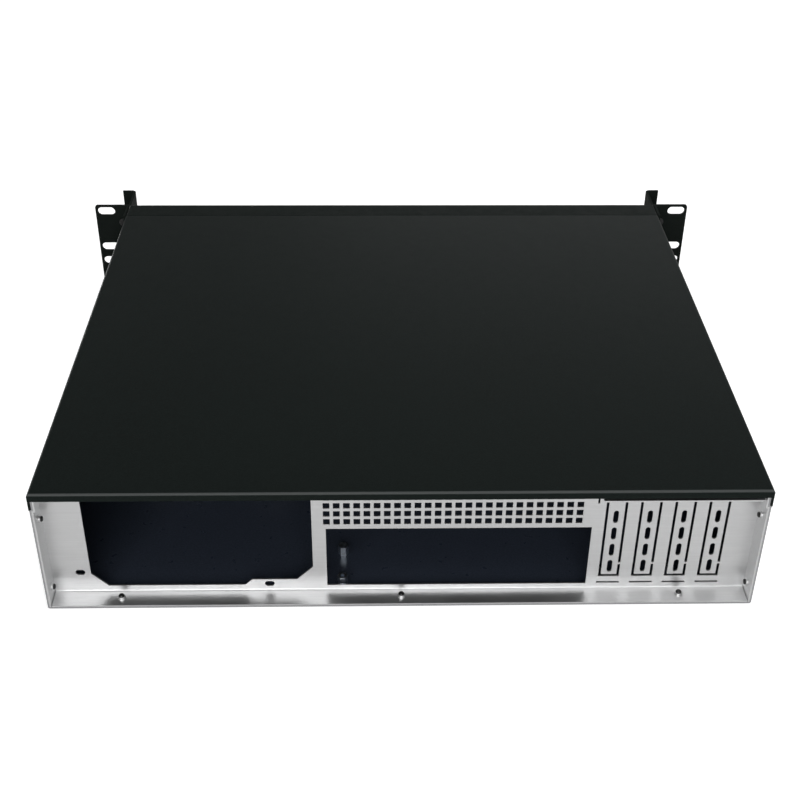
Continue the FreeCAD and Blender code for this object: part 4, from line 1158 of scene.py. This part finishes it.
@dataclass(frozen=True)
class Viewpoint:
    """Camera behind the case, above it and a little to the side of its middle.

    Attributes:
        place: Place of the camera.
        yaw: Turn to the side from straight ahead, in degrees.
        pitch: Angle below the horizon, in degrees.
        roll: Turn about the line of sight, in degrees.
        lens: Focal length in mm.
        sensor: Width of the sensor in mm.
        clip: Nearest and farthest distance that shows.
    """

    place: Place = (0.017484, 0.786255, 0.538621)
    yaw: float = -1.510
    pitch: float = 33.905
    roll: float = 0.611
    lens: float = 57.72
    sensor: float = 36.0
    clip: Span = (0.01, 50.0)

    def build(self) -> None:
        """Puts the camera into the scene."""
        yaw, pitch, roll = (math.radians(angle) for angle in (self.yaw, self.pitch, self.roll))
        ahead = Vector((math.sin(yaw) * math.cos(pitch), -math.cos(yaw) * math.cos(pitch),
                        -math.sin(pitch)))
        right = ahead.cross(UPRIGHT).normalized()
        above = right.cross(ahead)
        across = right * math.cos(roll) + above * math.sin(roll)
        upward = above * math.cos(roll) - right * math.sin(roll)
        turn = Matrix((across, upward, -ahead)).transposed().to_4x4()
        data = bpy.data.cameras.new("camera")
        data.lens, data.sensor_width = self.lens, self.sensor
        data.clip_start, data.clip_end = self.clip
        camera = bpy.data.objects.new("camera", data)
        camera.matrix_world = Matrix.Translation(self.place) @ turn
        bpy.context.scene.collection.objects.link(camera)
        bpy.context.scene.camera = camera


@dataclass
class Studio:
    """Pale cove, soft lamps and camera.

    Attributes:
        cove_radius: Radius of the floor and of the wall round it.
        cove_height: Height of the wall.
        cove_bend: Width of the bend between floor and wall.
        cove_drop: Distance of the floor below the case.
        cove_sides: Sides of the wall.
        bend_steps: Facets across the bend.
        paint: Grey of the cove's paint.
        paint_drift: How much paler the paint gets in places.
        paint_cloud: Such places per metre.
        paint_roughness: Roughness of the paint.
        paint_specular: Level of the light that the paint mirrors.
        glow: Light added to the cove where it is seen.
        mirrored: Light added to the cove where it is mirrored.
        sky: Grey of the light from all round.
        lamps: The soft lamps.
    """

    cove_radius: float = 7.0
    cove_height: float = 2.6
    cove_bend: float = 1.2
    cove_drop: float = 0.3 * MM
    cove_sides: int = 96
    bend_steps: int = 10
    paint: float = 0.72
    paint_drift: float = 1.02
    paint_cloud: float = 3.0
    paint_roughness: float = 0.9
    paint_specular: float = 0.1
    glow: float = 0.66
    mirrored: float = 0.1
    sky: float = 0.3
    lamps: tuple[SoftBox, ...] = (
        SoftBox("lamp_rear", (0.3, 2.3, 1.15), 2.0, 1.0, 31.0),
        SoftBox("lamp_top", (-0.5, 0.3, 2.2), 1.6, 1.6, 20.0),
        SoftBox("lamp_front", (-0.8, -2.6, 0.7), 2.0, 0.8, 3.2),
        SoftBox("lamp_low", (0.4, -2.2, 0.04), 2.4, 0.06, 14.0),
    )

    def build(self) -> None:
        """Builds the cove, the sky, the lamps and the camera."""
        self.build_cove()
        world = bpy.data.worlds.new("sky")
        world.use_nodes = True
        background = world.node_tree.nodes["Background"]
        background.inputs["Color"].default_value = (self.sky, self.sky, self.sky, 1.0)
        bpy.context.scene.world = world
        for lamp in self.lamps:
            lamp.build()
        Viewpoint().build()
        bpy.context.scene.view_settings.view_transform = "Standard"

    def build_cove(self) -> None:
        """Builds the floor, which bends up into a low wall all round."""
        shape = bmesh.new()
        bmesh.ops.create_circle(shape, cap_ends=True, segments=self.cove_sides,
                                radius=self.cove_radius)
        rim = [edge for edge in shape.edges if edge.is_boundary]
        wall = bmesh.ops.extrude_edge_only(shape, edges=rim)["geom"]
        raised = [item for item in wall if isinstance(item, bmesh.types.BMVert)]
        bmesh.ops.translate(shape, verts=raised, vec=(0.0, 0.0, self.cove_height))
        corner = [edge for edge in shape.edges if all(abs(vert.co.z) < MM for vert in edge.verts)]
        bmesh.ops.bevel(shape, geom=corner, offset=self.cove_bend, offset_type="OFFSET",
                        segments=self.bend_steps, profile=0.5, affect="EDGES", material=-1)
        bmesh.ops.translate(shape, verts=shape.verts, vec=(0.0, 0.0, -self.cove_drop))
        bmesh.ops.recalc_face_normals(shape, faces=shape.faces)
        bmesh.ops.reverse_faces(shape, faces=shape.faces)
        mesh = bpy.data.meshes.new("cove")
        shape.to_mesh(mesh)
        shape.free()
        mesh.shade_smooth()
        mesh.materials.append(self.cove_paint())
        cove = bpy.data.objects.new("cove", mesh)
        bpy.context.scene.collection.objects.link(cove)

    def cove_paint(self) -> bpy.types.Material:
        """Makes the cove's paint: pale, lifted to white where it is seen, less where mirrored.

        Returns:
            The material.
        """
        graph = Graph("cove_paint")
        cloud = graph.span(graph.noise(self.paint_cloud), 0.0, 1.0)
        graph.colour(graph.mix(cloud, (self.paint,) * 3, (self.paint * self.paint_drift,) * 3))
        graph.set(Roughness=self.paint_roughness, Specular_IOR_Level=self.paint_specular)
        path = graph.node("ShaderNodeLightPath")
        glow = graph.node("ShaderNodeEmission")
        strength = glow.inputs["Strength"]
        for name, share in (("Is Camera Ray", self.glow), ("Is Glossy Ray", self.mirrored)):
            part = graph.node("ShaderNodeMath", operation="MULTIPLY_ADD")
            part.inputs[1].default_value = share
            part.inputs[2].default_value = 0.0
            graph.join(path.outputs[name], part.inputs[0])
            if strength.is_linked:
                graph.join(strength.links[0].from_socket, part.inputs[2])
            graph.join(part.outputs[0], strength)
        both = graph.node("ShaderNodeAddShader")
        graph.join(graph.shader.outputs["BSDF"], both.inputs[0])
        graph.join(glow.outputs["Emission"], both.inputs[1])
        graph.join(both.outputs[0], graph.output.inputs["Surface"])
        return graph.material


def main() -> None:
    """Builds and dresses the case, then the studio."""
    logging.basicConfig(level=logging.INFO, format="%(name)s: %(message)s")
    shop = Workshop()
    assemblies = (Shell(shop), RearPanel(shop), Inside(shop), Fan(shop, "left", "left_rotor"),
                  Fan(shop, "right", "right_rotor"), Controls(shop), Studio())
    for assembly in assemblies:
        log.info("building %s", type(assembly).__name__)
        assembly.build()


if __name__ == "__main__":
    main()
